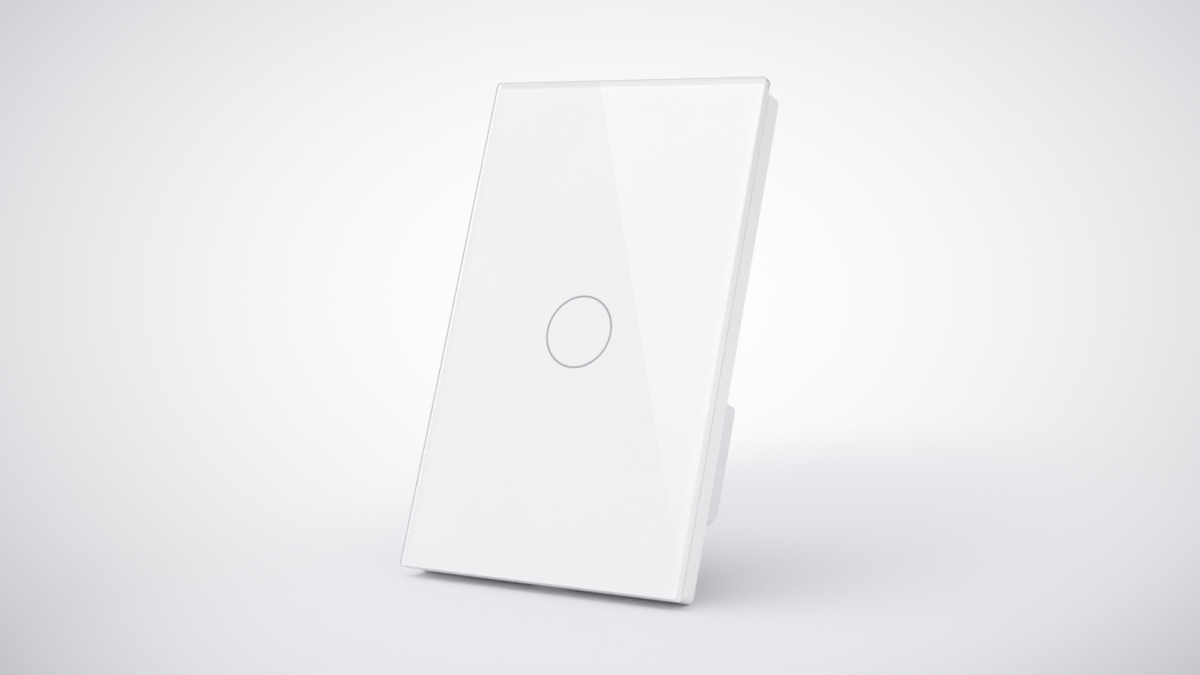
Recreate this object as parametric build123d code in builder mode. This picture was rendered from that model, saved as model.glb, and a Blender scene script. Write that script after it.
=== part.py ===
"""Wall touch switch: a white glass panel on a clip-on frame, over a base plate and a rear housing.

Millimetres. +X points right, +Y into the wall and +Z up, as the switch hangs on its wall.
The origin is the centre of the wall plane, midway between the two wall-box screw holes.
Depths are Y values: the wall plane is 0, the room is negative and the wall box is positive.
"""

import os
from math import cos, pi, radians, sin

from build123d import *

os.makedirs("parts", exist_ok=True)

# Glass panel, with the white print on its back
panel_width = 72.0
panel_height = 118.0
glass_thickness = 2.5
glass_corner_radius = 1.0
glass_edge_chamfer = 0.2
print_inset = 0.4
print_thickness = 0.15

# Ring mark that shows where to touch
ring_radius = 8.3
ring_line_width = 0.45
ring_groove_depth = 0.15
ring_mark_recess = 0.02
ring_centre_height = -1.8

# Adhesive between the glass and the frame
adhesive_thickness = 1.1
adhesive_inset = 0.9

# Clip-on frame behind the glass
frame_depth = 5.95
frame_wall_gap = 0.6
frame_side_inset = 0.4
frame_top_inset = 2.0
frame_bottom_inset = 0.4
frame_wall = 2.0
frame_web_thickness = 1.4
frame_web_width = 6.0
frame_corner_radius = 1.5
frame_front_fillet = 0.35
frame_back_fillet = 1.2
release_notch_width = 9.0
release_notch_depth = 1.8
clip_height = 0.35
clip_width = 1.6
clip_length = 10.0
clip_spacing = 64.0
clip_setback = 3.2

# Base plate
base_thickness = 2.2
base_clearance = 0.6
base_corner_radius = 1.5
rim_wall = 1.4
rim_height = 2.6
pocket_depth = 0.9
pocket_border = 3.0
pocket_rib = 1.6
pocket_gap = 2.4
pocket_corner_radius = 1.0

# Screw holes that fit a standard wall box
box_screw_spacing = 83.3
box_screw_hole_radius = 2.1
box_screw_head_radius = 4.2
box_screw_head_depth = 0.7

# Touch board
touch_board_width = 48.0
touch_board_height = 60.0
touch_board_thickness = 1.2
touch_board_standoff = 1.0
touch_board_corner_radius = 1.5
touch_screw_side_inset = 3.2
touch_screw_spacing = 36.0
standoff_radius = 2.2

# Sensing spring between the touch board and the glass
spring_wire = 0.5
spring_radius = 4.0
spring_pitch = 0.95
spring_turns = 2.5
spring_foot_gap = 0.02

# Light guide and its lamps round the spring
guide_outer_radius = 10.6
guide_inner_radius = 6.6
guide_top_gap = 0.3
led_count = 4
led_length = 3.0
led_width = 1.6
led_height = 0.8
led_pocket_clearance = 0.3

# Touch controller on the touch board
touch_chip_length = 5.0
touch_chip_width = 4.0
touch_chip_height = 1.3
touch_chip_drop = 17.0
chip_lead_width = 0.4
chip_lead_pitch = 1.1
chip_lead_count = 4
chip_lead_reach = 0.9
chip_lead_thickness = 0.2

# Reset switch on the touch board
reset_side = 4.6
reset_height = 1.6
reset_side_inset = 8.0
reset_bottom_inset = 7.0
reset_button_radius = 0.9
reset_button_clearance = 0.05
reset_button_length = 1.3
reset_travel = 0.25
reset_end_gap = 0.05

# Radio module behind the touch board
radio_width = 18.0
radio_height = 16.0
radio_board_thickness = 0.8
radio_offset_z = -9.0
shield_width = 14.0
shield_height = 11.0
shield_thickness = 1.9
shield_drop = 1.6
shield_fillet = 0.5

# Pins that join the touch board to the power board
pin_columns = 4
pin_rows = 2
pin_pitch = 2.54
pin_side = 0.6
pin_hole_clearance = 0.1
pin_tail = 0.8
pin_reach = 3.2
header_height = 2.5
header_offset_z = 13.0
header_margin = 0.4
socket_gap = 0.2

# Power board
power_board_width = 45.2
power_board_top = 30.6
power_board_bottom = 36.0
power_board_thickness = 1.6
power_board_setback = 4.0
component_gap = 0.3

# Rear housing that sits in the wall box
housing_wall = 1.6
housing_board_clearance = 0.8
housing_corner_radius = 2.0
housing_edge_fillet = 1.0
housing_end_clearance = 0.5
step_height = 9.6
step_fillet = 1.4
toe_chamfer = 3.3
vent_width = 1.6
vent_length = 14.0
vent_pitch = 4.0
vent_count = 4
vent_rise = 7.6

# Corner bosses and screws that hold the housing to the base plate
boss_radius = 2.7
boss_inset = 0.6
boss_depth = 11.0
housing_screw_radius = 1.2
housing_screw_head_radius = 2.3
housing_screw_length = 9.0
screw_bore_clearance = 0.05
screw_cross_width = 0.7
screw_cross_depth = 0.6

# Pillars and screws that hold the power board in the housing
pillar_radius = 2.6
pillar_side_inset = 4.0
pillar_rise = 24.6
board_screw_radius = 1.0
board_screw_head_radius = 1.9
board_screw_head_height = 1.2
board_screw_length = 6.0

# Base plate window behind the boards
window_width = 36.0
window_top = 23.0
window_bottom = 28.0
window_corner_radius = 2.0

# Terminals
pole_count = 4
pole_pitch = 7.62
terminal_screw_pitch = 0.5
terminal_turns = 4
clamp_width = 5.4
clamp_length = 6.2
clamp_wall = 0.9
clamp_bridge = 1.5
clamp_clearance = 0.3
wire_gap = 3.0
tongue_thickness = 0.8
tongue_width = 3.0
tongue_gap = 0.3
tongue_depth = 8.2
tongue_end_gap = 0.5
terminal_screw_radius = 1.5
terminal_screw_clearance = 0.05
terminal_head_radius = 2.3
terminal_head_height = 1.7
terminal_head_gap = 0.3
terminal_slot_width = 0.7
terminal_slot_depth = 0.9
block_wall = 1.2
block_rear_gap = 0.5
block_upper_wall = 2.4
wire_bore_radius = 1.7
wire_bore_chamfer = 0.5
nose_margin = 0.9
nose_clearance = 0.2
driver_hole_radius = 2.0

# Relay
relay_length = 20.4
relay_width = 10.2
relay_height = 15.0
relay_base_thickness = 1.5
relay_case_wall = 0.6
relay_case_fillet = 0.5
relay_centre_x = -11.8
relay_block_gap = 1.6
yoke_thickness = 1.0
yoke_width = 7.0
yoke_end_gap = 0.8
yoke_lift = 0.3
core_radius = 1.6
pole_radius = 2.5
pole_thickness = 0.6
coil_yoke_gap = 0.6
bobbin_flange_radius = 4.1
bobbin_flange_thickness = 0.5
bobbin_hub_wall = 0.4
bobbin_bore_clearance = 0.05
winding_radius = 3.7
armature_thickness = 1.0
armature_gap = 0.8
armature_heel_gap = 0.3
armature_overhang = 0.6
armature_swing = 5.0
leaf_thickness = 0.3
leaf_width = 3.2
leaf_root = 2.6
contact_radius = 1.2
contact_height = 0.8
contact_end_gap = 0.06
contact_arm_inset = 1.2
fixed_arm_thickness = 0.5
fixed_arm_width = 3.0

# Transformer
transformer_centre_x = 11.5
transformer_core_width = 13.0
transformer_core_depth = 6.0
transformer_core_height = 11.0
transformer_leg = 1.7
transformer_middle_leg = 3.2
transformer_base_thickness = 2.0
transformer_base_width = 13.6
transformer_base_depth = 11.4
bobbin_sleeve_wall = 0.5
bobbin_sleeve_gap = 0.1
bobbin_cheek = 0.6
transformer_winding_wall = 1.7
transformer_winding_fillet = 0.6

# Capacitors, varistor, fuse and rectifier on the power board
filter_capacitor_radius = 4.0
filter_capacitor_length = 12.0
filter_capacitor_x = -13.0
filter_capacitor_z = 1.5
output_capacitor_radius = 3.15
output_capacitor_length = 8.0
output_capacitor_x = 14.5
output_capacitor_z = 12.5
capacitor_crimp_depth = 0.4
capacitor_crimp_width = 0.9
capacitor_crimp_setback = 1.6
safety_capacitor_length = 13.0
safety_capacitor_width = 5.0
safety_capacitor_height = 9.6
safety_capacitor_x = -10.0
safety_capacitor_z = 14.0
safety_capacitor_fillet = 0.5
varistor_radius = 3.6
varistor_thickness = 3.4
varistor_x = 2.5
varistor_z = 3.0
varistor_rim = 1.2
fuse_length = 9.6
fuse_radius = 1.8
fuse_cap_length = 2.2
fuse_cap_step = 0.15
fuse_x = 14.5
fuse_z = -1.0
rectifier_length = 5.0
rectifier_width = 4.0
rectifier_height = 2.4
rectifier_x = 2.5
rectifier_z = 20.5
rectifier_chamfer = 0.3

# Depths worked out from the stack between the wall plane and the glass
frame_back = -frame_wall_gap
frame_front = frame_back - frame_depth
adhesive_front = frame_front - adhesive_thickness
glass_back = adhesive_front - print_thickness
glass_front = glass_back - glass_thickness
base_front = -base_thickness
touch_board_back = base_front - touch_board_standoff
touch_board_front = touch_board_back - touch_board_thickness
guide_front = adhesive_front + guide_top_gap
board_front = power_board_setback
board_back = board_front + power_board_thickness
component_seat = board_back + component_gap

# Outlines worked out from one another
frame_width = panel_width - 2 * frame_side_inset
frame_top = panel_height / 2 - frame_top_inset
frame_bottom = frame_bottom_inset - panel_height / 2
frame_middle = (frame_top + frame_bottom) / 2
frame_height = frame_top - frame_bottom
frame_inner_width = frame_width - 2 * frame_wall
frame_inner_height = frame_height - 2 * frame_wall
frame_window_width = frame_width - 2 * frame_web_width
frame_window_height = frame_height - 2 * frame_web_width
base_width = frame_inner_width - 2 * base_clearance
base_height = 2 * (min(frame_top, -frame_bottom) - frame_wall - base_clearance)

# Terminal depths: the wire lies between the clamp's floor and the tongue, the screw bears on the tongue
clamp_travel = terminal_screw_pitch * terminal_turns
tongue_front = component_seat + tongue_depth - tongue_thickness
tongue_back = tongue_front + tongue_thickness
clamp_floor = tongue_front - wire_gap
clamp_front = clamp_floor - clamp_wall
clamp_bridge_front = tongue_back + tongue_gap
clamp_back = clamp_bridge_front + clamp_bridge
head_front = clamp_back + clamp_travel + terminal_head_gap
head_back = head_front + terminal_head_height
wire_depth = (clamp_floor + tongue_front) / 2

# Housing box: it wraps the power board, and its deep part wraps the relay and the terminals
housing_inner_width = power_board_width + 2 * housing_board_clearance
housing_width = housing_inner_width + 2 * housing_wall
housing_inner_top = power_board_top + housing_board_clearance
housing_inner_bottom = -power_board_bottom - housing_board_clearance
housing_top = housing_inner_top + housing_wall
housing_bottom = housing_inner_bottom - housing_wall
deep_inner = max(component_seat + relay_height, head_back + block_rear_gap) + housing_end_clearance
deep_outer = deep_inner + housing_wall
shallow_inner = component_seat + safety_capacitor_height + 2 * housing_end_clearance
shallow_outer = shallow_inner + housing_wall
housing_middle = (housing_top + housing_bottom) / 2
housing_height = housing_top - housing_bottom
step_top = -step_height
step_inner_top = step_top - housing_wall
boss_x = housing_inner_width / 2 - boss_radius - boss_inset
boss_top = housing_inner_top - boss_radius - boss_inset
boss_bottom = housing_inner_bottom + boss_radius + boss_inset
boss_spots = [(x, z) for x in (-boss_x, boss_x) for z in (boss_bottom, boss_top)]
pillar_x = power_board_width / 2 - pillar_side_inset
pillar_z = pillar_rise - housing_board_clearance - 2 * boss_radius
pillar_spots = [(-pillar_x, pillar_z), (pillar_x, pillar_z)]
touch_screw_x = touch_board_width / 2 - touch_screw_side_inset
touch_screw_z = touch_screw_spacing / 2
touch_screw_spots = [(x, z) for x in (-touch_screw_x, touch_screw_x) for z in (-touch_screw_z, touch_screw_z)]

# Terminal block box
block_width = pole_count * pole_pitch
block_bottom = housing_inner_bottom
block_pocket_bottom = block_bottom + block_wall
block_pocket_length = clamp_length + 2 * clamp_clearance
block_pocket_top = block_pocket_bottom + block_pocket_length
block_top = block_pocket_top + block_upper_wall
block_back = deep_inner - block_rear_gap
clamp_centre_z = block_pocket_bottom + block_pocket_length / 2
pole_xs = [pole_pitch * (index - (pole_count - 1) / 2) for index in range(pole_count)]

# Relay box and the places inside it
relay_bottom = block_top + relay_block_gap
relay_centre_z = relay_bottom + relay_width / 2
relay_left = relay_centre_x - relay_length / 2
relay_right = relay_centre_x + relay_length / 2
relay_base_back = component_seat + relay_base_thickness
relay_back = component_seat + relay_height
yoke_left = relay_left + relay_case_wall + yoke_end_gap
yoke_front = relay_base_back + yoke_lift
coil_x = yoke_left + yoke_thickness + coil_yoke_gap + bobbin_flange_radius
armature_front = relay_back - relay_case_wall - leaf_thickness - armature_thickness - 2 * contact_height
armature_back = armature_front + armature_thickness
yoke_back = armature_front - armature_heel_gap
core_back = armature_front - armature_gap
hinge_x = yoke_left + yoke_thickness / 2
hinge_depth = armature_front - armature_heel_gap / 2
bobbin_front = yoke_front + yoke_thickness
bobbin_back = core_back - pole_thickness
contact_x = relay_right - relay_case_wall - contact_arm_inset - contact_radius
contact_drop = (contact_x + contact_radius - hinge_x) * sin(radians(armature_swing))
leaf_front = armature_back
fixed_contact_back = leaf_front - contact_height - contact_drop - contact_end_gap

# Transformer places
transformer_centre_z = relay_bottom + transformer_base_depth / 2
core_front = component_seat + transformer_base_thickness
core_end = core_front + transformer_core_height


def facing_room(depth):
    """Plane square to the wall at a depth, seen from the room: X right, Y up, normal to the room."""
    return Plane(origin=(0, depth, 0), x_dir=(1, 0, 0), z_dir=(0, -1, 0))


def facing_up(height):
    """Level plane at a height: X right, Y into the wall, normal up."""
    return Plane.XY.offset(height)


def facing_right(x):
    """Upright plane at an X position: its X runs into the wall, its Y up, normal to the right."""
    return Plane(origin=(x, 0, 0), x_dir=(0, 1, 0), z_dir=(1, 0, 0))


def save(piece, label):
    """Name a finished piece and write its STEP file."""
    piece.part.label = label
    export_step(piece.part, f"parts/{label}.step")


# Glass panel: a polished plate with a shallow ring etched in its face
with BuildPart() as glass_panel:
    with BuildSketch(facing_room(glass_back)):
        RectangleRounded(panel_width, panel_height, glass_corner_radius)
    extrude(amount=glass_thickness)
    chamfer(glass_panel.faces().filter_by(Axis.Y).edges(), glass_edge_chamfer)
    with BuildSketch(facing_room(glass_front + ring_groove_depth)):
        with Locations((0, ring_centre_height)):
            Circle(ring_radius + ring_line_width / 2)
            Circle(ring_radius - ring_line_width / 2, mode=Mode.SUBTRACT)
    extrude(amount=ring_groove_depth, mode=Mode.SUBTRACT)
save(glass_panel, "glass_panel")

# Ring mark: grey enamel that fills the etched ring
with BuildPart() as touch_ring_mark:
    with BuildSketch(facing_room(glass_front + ring_groove_depth)):
        with Locations((0, ring_centre_height)):
            Circle(ring_radius + ring_line_width / 2)
            Circle(ring_radius - ring_line_width / 2, mode=Mode.SUBTRACT)
    extrude(amount=ring_groove_depth - ring_mark_recess)
save(touch_ring_mark, "touch_ring_mark")

# White print on the back of the glass
with BuildPart() as white_print:
    with BuildSketch(facing_room(adhesive_front)):
        RectangleRounded(
            panel_width - 2 * print_inset,
            panel_height - 2 * print_inset,
            glass_corner_radius,
        )
    extrude(amount=print_thickness)
save(white_print, "white_print")

# Adhesive: a rectangular loop of tape as wide as the frame's web
with BuildPart() as panel_adhesive:
    with BuildSketch(facing_room(frame_front)):
        with Locations((0, frame_middle)):
            RectangleRounded(
                frame_width - 2 * adhesive_inset,
                frame_height - 2 * adhesive_inset,
                frame_corner_radius,
            )
            Rectangle(frame_window_width, frame_window_height, mode=Mode.SUBTRACT)
    extrude(amount=adhesive_thickness)
save(panel_adhesive, "panel_adhesive")

# Frame: a shallow tray with a window in its web, clip bumps inside and a release notch below
with BuildPart() as panel_frame:
    with BuildSketch(facing_room(frame_back)):
        with Locations((0, frame_middle)):
            RectangleRounded(frame_width, frame_height, frame_corner_radius)
    extrude(amount=frame_depth)
    fillet(panel_frame.faces().sort_by(Axis.Y)[0].edges(), frame_front_fillet)
    fillet(panel_frame.faces().sort_by(Axis.Y)[-1].edges(), frame_back_fillet)
    with BuildSketch(facing_room(frame_back)):
        with Locations((0, frame_middle)):
            Rectangle(frame_inner_width, frame_inner_height)
    extrude(amount=frame_depth - frame_web_thickness, mode=Mode.SUBTRACT)
    with BuildSketch(facing_room(frame_back)):
        with Locations((0, frame_middle)):
            Rectangle(frame_window_width, frame_window_height)
    extrude(amount=frame_depth, mode=Mode.SUBTRACT)
    with BuildSketch(facing_room(frame_back)):
        with Locations((0, frame_bottom)):
            Rectangle(release_notch_width, 2 * frame_wall)
    extrude(amount=release_notch_depth, mode=Mode.SUBTRACT)
    for clip_z in (-clip_spacing / 2, clip_spacing / 2):
        with BuildSketch(facing_up(clip_z - clip_length / 2)):
            with BuildLine():
                Polyline(
                    (frame_inner_width / 2, -clip_setback - clip_width / 2),
                    (frame_inner_width / 2, -clip_setback + clip_width / 2),
                    (frame_inner_width / 2 - clip_height, -clip_setback),
                    close=True,
                )
            make_face()
            mirror(about=Plane.YZ)
        extrude(amount=clip_length)
save(panel_frame, "panel_frame")

# Base plate: screwed over the wall box, it carries the touch board in front and the housing behind
with BuildPart() as base_plate:
    with BuildSketch(facing_room(0)):
        RectangleRounded(base_width, base_height, base_corner_radius)
    extrude(amount=base_thickness)
    with BuildSketch(facing_room(base_front)):
        RectangleRounded(base_width, base_height, base_corner_radius)
        Rectangle(base_width - 2 * rim_wall, base_height - 2 * rim_wall, mode=Mode.SUBTRACT)
    extrude(amount=rim_height)
    with BuildSketch(facing_room(base_front)):
        with Locations(*touch_screw_spots):
            Circle(standoff_radius)
    extrude(amount=touch_board_standoff)
    with BuildSketch(facing_room(0)):
        with Locations((0, (window_top - window_bottom) / 2)):
            RectangleRounded(window_width, window_top + window_bottom, window_corner_radius)
    extrude(amount=base_thickness, mode=Mode.SUBTRACT)
    # Shallow pockets in the back, clear of the housing and of the wall-box screws
    pocket_outer = base_height / 2 - pocket_border
    pocket_side = base_width / 2 - pocket_border
    pocket_inner_x = box_screw_head_radius + pocket_rib
    for end, housing_end in ((1, housing_top), (-1, -housing_bottom)):
        pocket_low = housing_end + pocket_gap
        with BuildSketch(facing_room(-pocket_depth)):
            for side in (-1, 1):
                with Locations((
                    side * (pocket_side + pocket_inner_x) / 2,
                    end * (pocket_outer + pocket_low) / 2,
                )):
                    RectangleRounded(
                        pocket_side - pocket_inner_x,
                        pocket_outer - pocket_low,
                        pocket_corner_radius,
                    )
        extrude(amount=-pocket_depth, mode=Mode.SUBTRACT)
    with Locations(facing_room(base_front)):
        with Locations((0, -box_screw_spacing / 2), (0, box_screw_spacing / 2)):
            CounterBoreHole(box_screw_hole_radius, box_screw_head_radius, box_screw_head_depth)
    with Locations(facing_room(base_front)):
        with Locations(*boss_spots):
            CounterSinkHole(
                housing_screw_radius + screw_bore_clearance,
                housing_screw_head_radius + screw_bore_clearance,
            )
    with Locations(facing_room(touch_board_back)):
        with Locations(*touch_screw_spots):
            Hole(board_screw_radius + screw_bore_clearance, depth=touch_board_standoff + base_thickness / 2)
save(base_plate, "base_plate")

# Countersunk screws from the base plate into the housing's corner bosses
with BuildPart() as housing_screws:
    with BuildSketch(facing_room(base_front + housing_screw_length)):
        with Locations(*boss_spots):
            Circle(housing_screw_radius)
    extrude(amount=housing_screw_length)
    sink_depth = housing_screw_head_radius - housing_screw_radius
    for spot in boss_spots:
        with BuildSketch(facing_room(base_front)):
            with Locations(spot):
                Circle(housing_screw_head_radius)
        with BuildSketch(facing_room(base_front + sink_depth)):
            with Locations(spot):
                Circle(housing_screw_radius)
        loft()
    with BuildSketch(facing_room(base_front + screw_cross_depth)):
        with Locations(*boss_spots):
            Rectangle(2 * housing_screw_radius, screw_cross_width)
            Rectangle(screw_cross_width, 2 * housing_screw_radius)
    extrude(amount=screw_cross_depth, mode=Mode.SUBTRACT)
save(housing_screws, "housing_screws")

pin_hole_side = pin_side + pin_hole_clearance

# Touch board: held on four standoffs, with holes for its screws and for the joining pins
with BuildPart() as touch_board:
    with BuildSketch(facing_room(touch_board_back)):
        RectangleRounded(touch_board_width, touch_board_height, touch_board_corner_radius)
        with Locations(*touch_screw_spots):
            Circle(board_screw_radius + screw_bore_clearance, mode=Mode.SUBTRACT)
        with Locations((0, header_offset_z)):
            with GridLocations(pin_pitch, pin_pitch, pin_columns, pin_rows):
                Rectangle(pin_hole_side, pin_hole_side, mode=Mode.SUBTRACT)
    extrude(amount=touch_board_thickness)
save(touch_board, "touch_board")

# Pan-head screws that hold the touch board
with BuildPart() as touch_board_screws:
    with BuildSketch(facing_room(touch_board_front)):
        with Locations(*touch_screw_spots):
            Circle(board_screw_head_radius)
    extrude(amount=board_screw_head_height)
    fillet(
        touch_board_screws.faces().group_by(Axis.Y)[0].edges(),
        board_screw_head_height / 3,
    )
    with BuildSketch(facing_room(touch_board_front)):
        with Locations(*touch_screw_spots):
            Circle(board_screw_radius)
    extrude(amount=-touch_board_thickness - touch_board_standoff)
    with BuildSketch(facing_room(touch_board_front - board_screw_head_height / 2)):
        with Locations(*touch_screw_spots):
            Rectangle(2 * board_screw_radius, screw_cross_width)
            Rectangle(screw_cross_width, 2 * board_screw_radius)
    extrude(amount=board_screw_head_height / 2, mode=Mode.SUBTRACT)
save(touch_board_screws, "touch_board_screws")


def helix_point(angle):
    """Point and unit tangent of the sensing spring's centre line after a turn of angle radians."""
    rise = spring_pitch * angle / (2 * pi)
    foot = touch_board_front - spring_wire / 2 - spring_foot_gap
    point = Vector(
        spring_radius * cos(angle),
        foot - rise,
        ring_centre_height + spring_radius * sin(angle),
    )
    tangent = Vector(
        -spring_radius * sin(angle),
        -spring_pitch / (2 * pi),
        spring_radius * cos(angle),
    )
    return point, tangent.normalized()


def joint_of_arcs(start, start_tangent, end, end_tangent):
    """Point where two tangent arcs meet on the way from start to end."""
    chord = end - start
    both = start_tangent + end_tangent
    bend = 2 * (1 - start_tangent.dot(end_tangent))
    reach = (-chord.dot(both) + (chord.dot(both) ** 2 + bend * chord.dot(chord)) ** 0.5) / bend
    return (start + end) * 0.5 + (start_tangent - end_tangent) * (reach / 2)


# Sensing spring: a coil of round wire that carries the touch signal from the glass
quarter_turns = round(4 * spring_turns)
with BuildPart() as touch_spring:
    with BuildLine() as spring_path:
        for quarter in range(quarter_turns):
            start, start_tangent = helix_point(quarter * pi / 2)
            end, end_tangent = helix_point((quarter + 1) * pi / 2)
            middle = joint_of_arcs(start, start_tangent, end, end_tangent)
            first = TangentArc(start, middle, tangent=start_tangent)
            TangentArc(middle, end, tangent=first % 1)
    with BuildSketch(Plane(origin=spring_path.wire() @ 0, z_dir=spring_path.wire() % 0)):
        Circle(spring_wire / 2)
    sweep(path=spring_path.wire())
save(touch_spring, "touch_spring")
spring_gap = spring_pitch - spring_wire
print("sensing spring: gap between turns", round(spring_gap, 3))
print("sensing spring: volume over section times length", round(
    touch_spring.part.volume / (pi * (spring_wire / 2) ** 2 * spring_path.wire().length), 4
))

# Light guide: a milky ring round the spring, with pockets over the lamps
led_orbit = (guide_outer_radius + guide_inner_radius) / 2
guide_plane = Plane(
    origin=(0, touch_board_front, ring_centre_height), x_dir=(1, 0, 0), z_dir=(0, -1, 0)
)
with BuildPart() as light_guide_ring:
    with BuildSketch(guide_plane):
        Circle(guide_outer_radius)
        Circle(guide_inner_radius, mode=Mode.SUBTRACT)
    extrude(amount=touch_board_front - guide_front)
    chamfer(light_guide_ring.faces().sort_by(Axis.Y)[0].edges(), glass_edge_chamfer)
    with BuildSketch(guide_plane):
        with PolarLocations(led_orbit, led_count, start_angle=45):
            Rectangle(led_width + 2 * led_pocket_clearance, led_length + 2 * led_pocket_clearance)
    extrude(amount=led_height + led_pocket_clearance, mode=Mode.SUBTRACT)
save(light_guide_ring, "light_guide_ring")

# Indicator lamps under the light guide
with BuildPart() as indicator_leds:
    with BuildSketch(guide_plane):
        with PolarLocations(led_orbit, led_count, start_angle=45):
            Rectangle(led_width, led_length)
    extrude(amount=led_height)
save(indicator_leds, "indicator_leds")

# Touch controller chip with bent leads on both sides
with BuildPart() as touch_chip:
    with BuildSketch(facing_room(touch_board_front - chip_lead_thickness)):
        with Locations((0, -touch_chip_drop)):
            Rectangle(touch_chip_length, touch_chip_width)
    extrude(amount=touch_chip_height - chip_lead_thickness)
    chamfer(touch_chip.faces().sort_by(Axis.Y)[0].edges(), chip_lead_thickness)
    with BuildSketch(facing_room(touch_board_front)):
        with Locations((0, -touch_chip_drop)):
            with GridLocations(chip_lead_pitch, 0, chip_lead_count, 1):
                Rectangle(chip_lead_width, touch_chip_width + 2 * chip_lead_reach)
    extrude(amount=chip_lead_thickness)
save(touch_chip, "touch_chip")

# Reset switch: a square body with a bore, and the button that travels in it
reset_x = touch_board_width / 2 - reset_side_inset
reset_z = reset_bottom_inset - touch_board_height / 2
reset_plane = Plane(
    origin=(reset_x, touch_board_front, reset_z), x_dir=(1, 0, 0), z_dir=(0, -1, 0)
)
reset_bore_depth = reset_button_length / 2 + reset_travel + reset_end_gap
with BuildPart() as reset_switch_body:
    with BuildSketch(reset_plane):
        Rectangle(reset_side, reset_side)
    extrude(amount=reset_height)
    chamfer(reset_switch_body.edges().filter_by(Axis.Y), reset_height / 4)
    with BuildSketch(reset_plane.offset(reset_height)):
        Circle(reset_button_radius + reset_button_clearance)
    extrude(amount=-reset_bore_depth, mode=Mode.SUBTRACT)
save(reset_switch_body, "reset_switch_body")

with BuildPart() as reset_button:
    with BuildSketch(reset_plane.offset(reset_height - reset_button_length / 2)):
        Circle(reset_button_radius)
    extrude(amount=reset_button_length)
    fillet(reset_button.faces().sort_by(Axis.Y)[0].edges(), reset_button_radius / 4)
save(reset_button, "reset_button")

# Radio module behind the touch board, with its folded shield
with BuildPart() as radio_board:
    with BuildSketch(facing_room(touch_board_back + radio_board_thickness)):
        with Locations((0, radio_offset_z)):
            Rectangle(radio_width, radio_height)
    extrude(amount=radio_board_thickness)
save(radio_board, "radio_board")

shield_front = touch_board_back + radio_board_thickness
with BuildPart() as radio_shield:
    with BuildSketch(facing_room(shield_front + shield_thickness)):
        with Locations((0, radio_offset_z - shield_drop)):
            Rectangle(shield_width, shield_height)
    extrude(amount=shield_thickness)
    fillet(radio_shield.faces().sort_by(Axis.Y)[-1].edges(), shield_fillet)
save(radio_shield, "radio_shield")

# Pin header on the touch board, its pins, and the socket on the power board
pin_field_width = pin_columns * pin_pitch + header_margin
pin_field_height = pin_rows * pin_pitch + header_margin
header_back = touch_board_back + header_height
socket_front = header_back + socket_gap
pin_back = header_back + pin_reach
for label, rear, height in (
    ("pin_header", header_back, header_height),
    ("pin_socket", board_front, board_front - socket_front),
):
    with BuildPart() as housing_of_pins:
        with BuildSketch(facing_room(rear)):
            with Locations((0, header_offset_z)):
                Rectangle(pin_field_width, pin_field_height)
                with GridLocations(pin_pitch, pin_pitch, pin_columns, pin_rows):
                    Rectangle(pin_hole_side, pin_hole_side, mode=Mode.SUBTRACT)
        extrude(amount=height)
    save(housing_of_pins, label)

with BuildPart() as header_pins:
    with BuildSketch(facing_room(pin_back)):
        with Locations((0, header_offset_z)):
            with GridLocations(pin_pitch, pin_pitch, pin_columns, pin_rows):
                Rectangle(pin_side, pin_side)
    extrude(amount=pin_back - touch_board_front + pin_tail)
save(header_pins, "header_pins")

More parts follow.
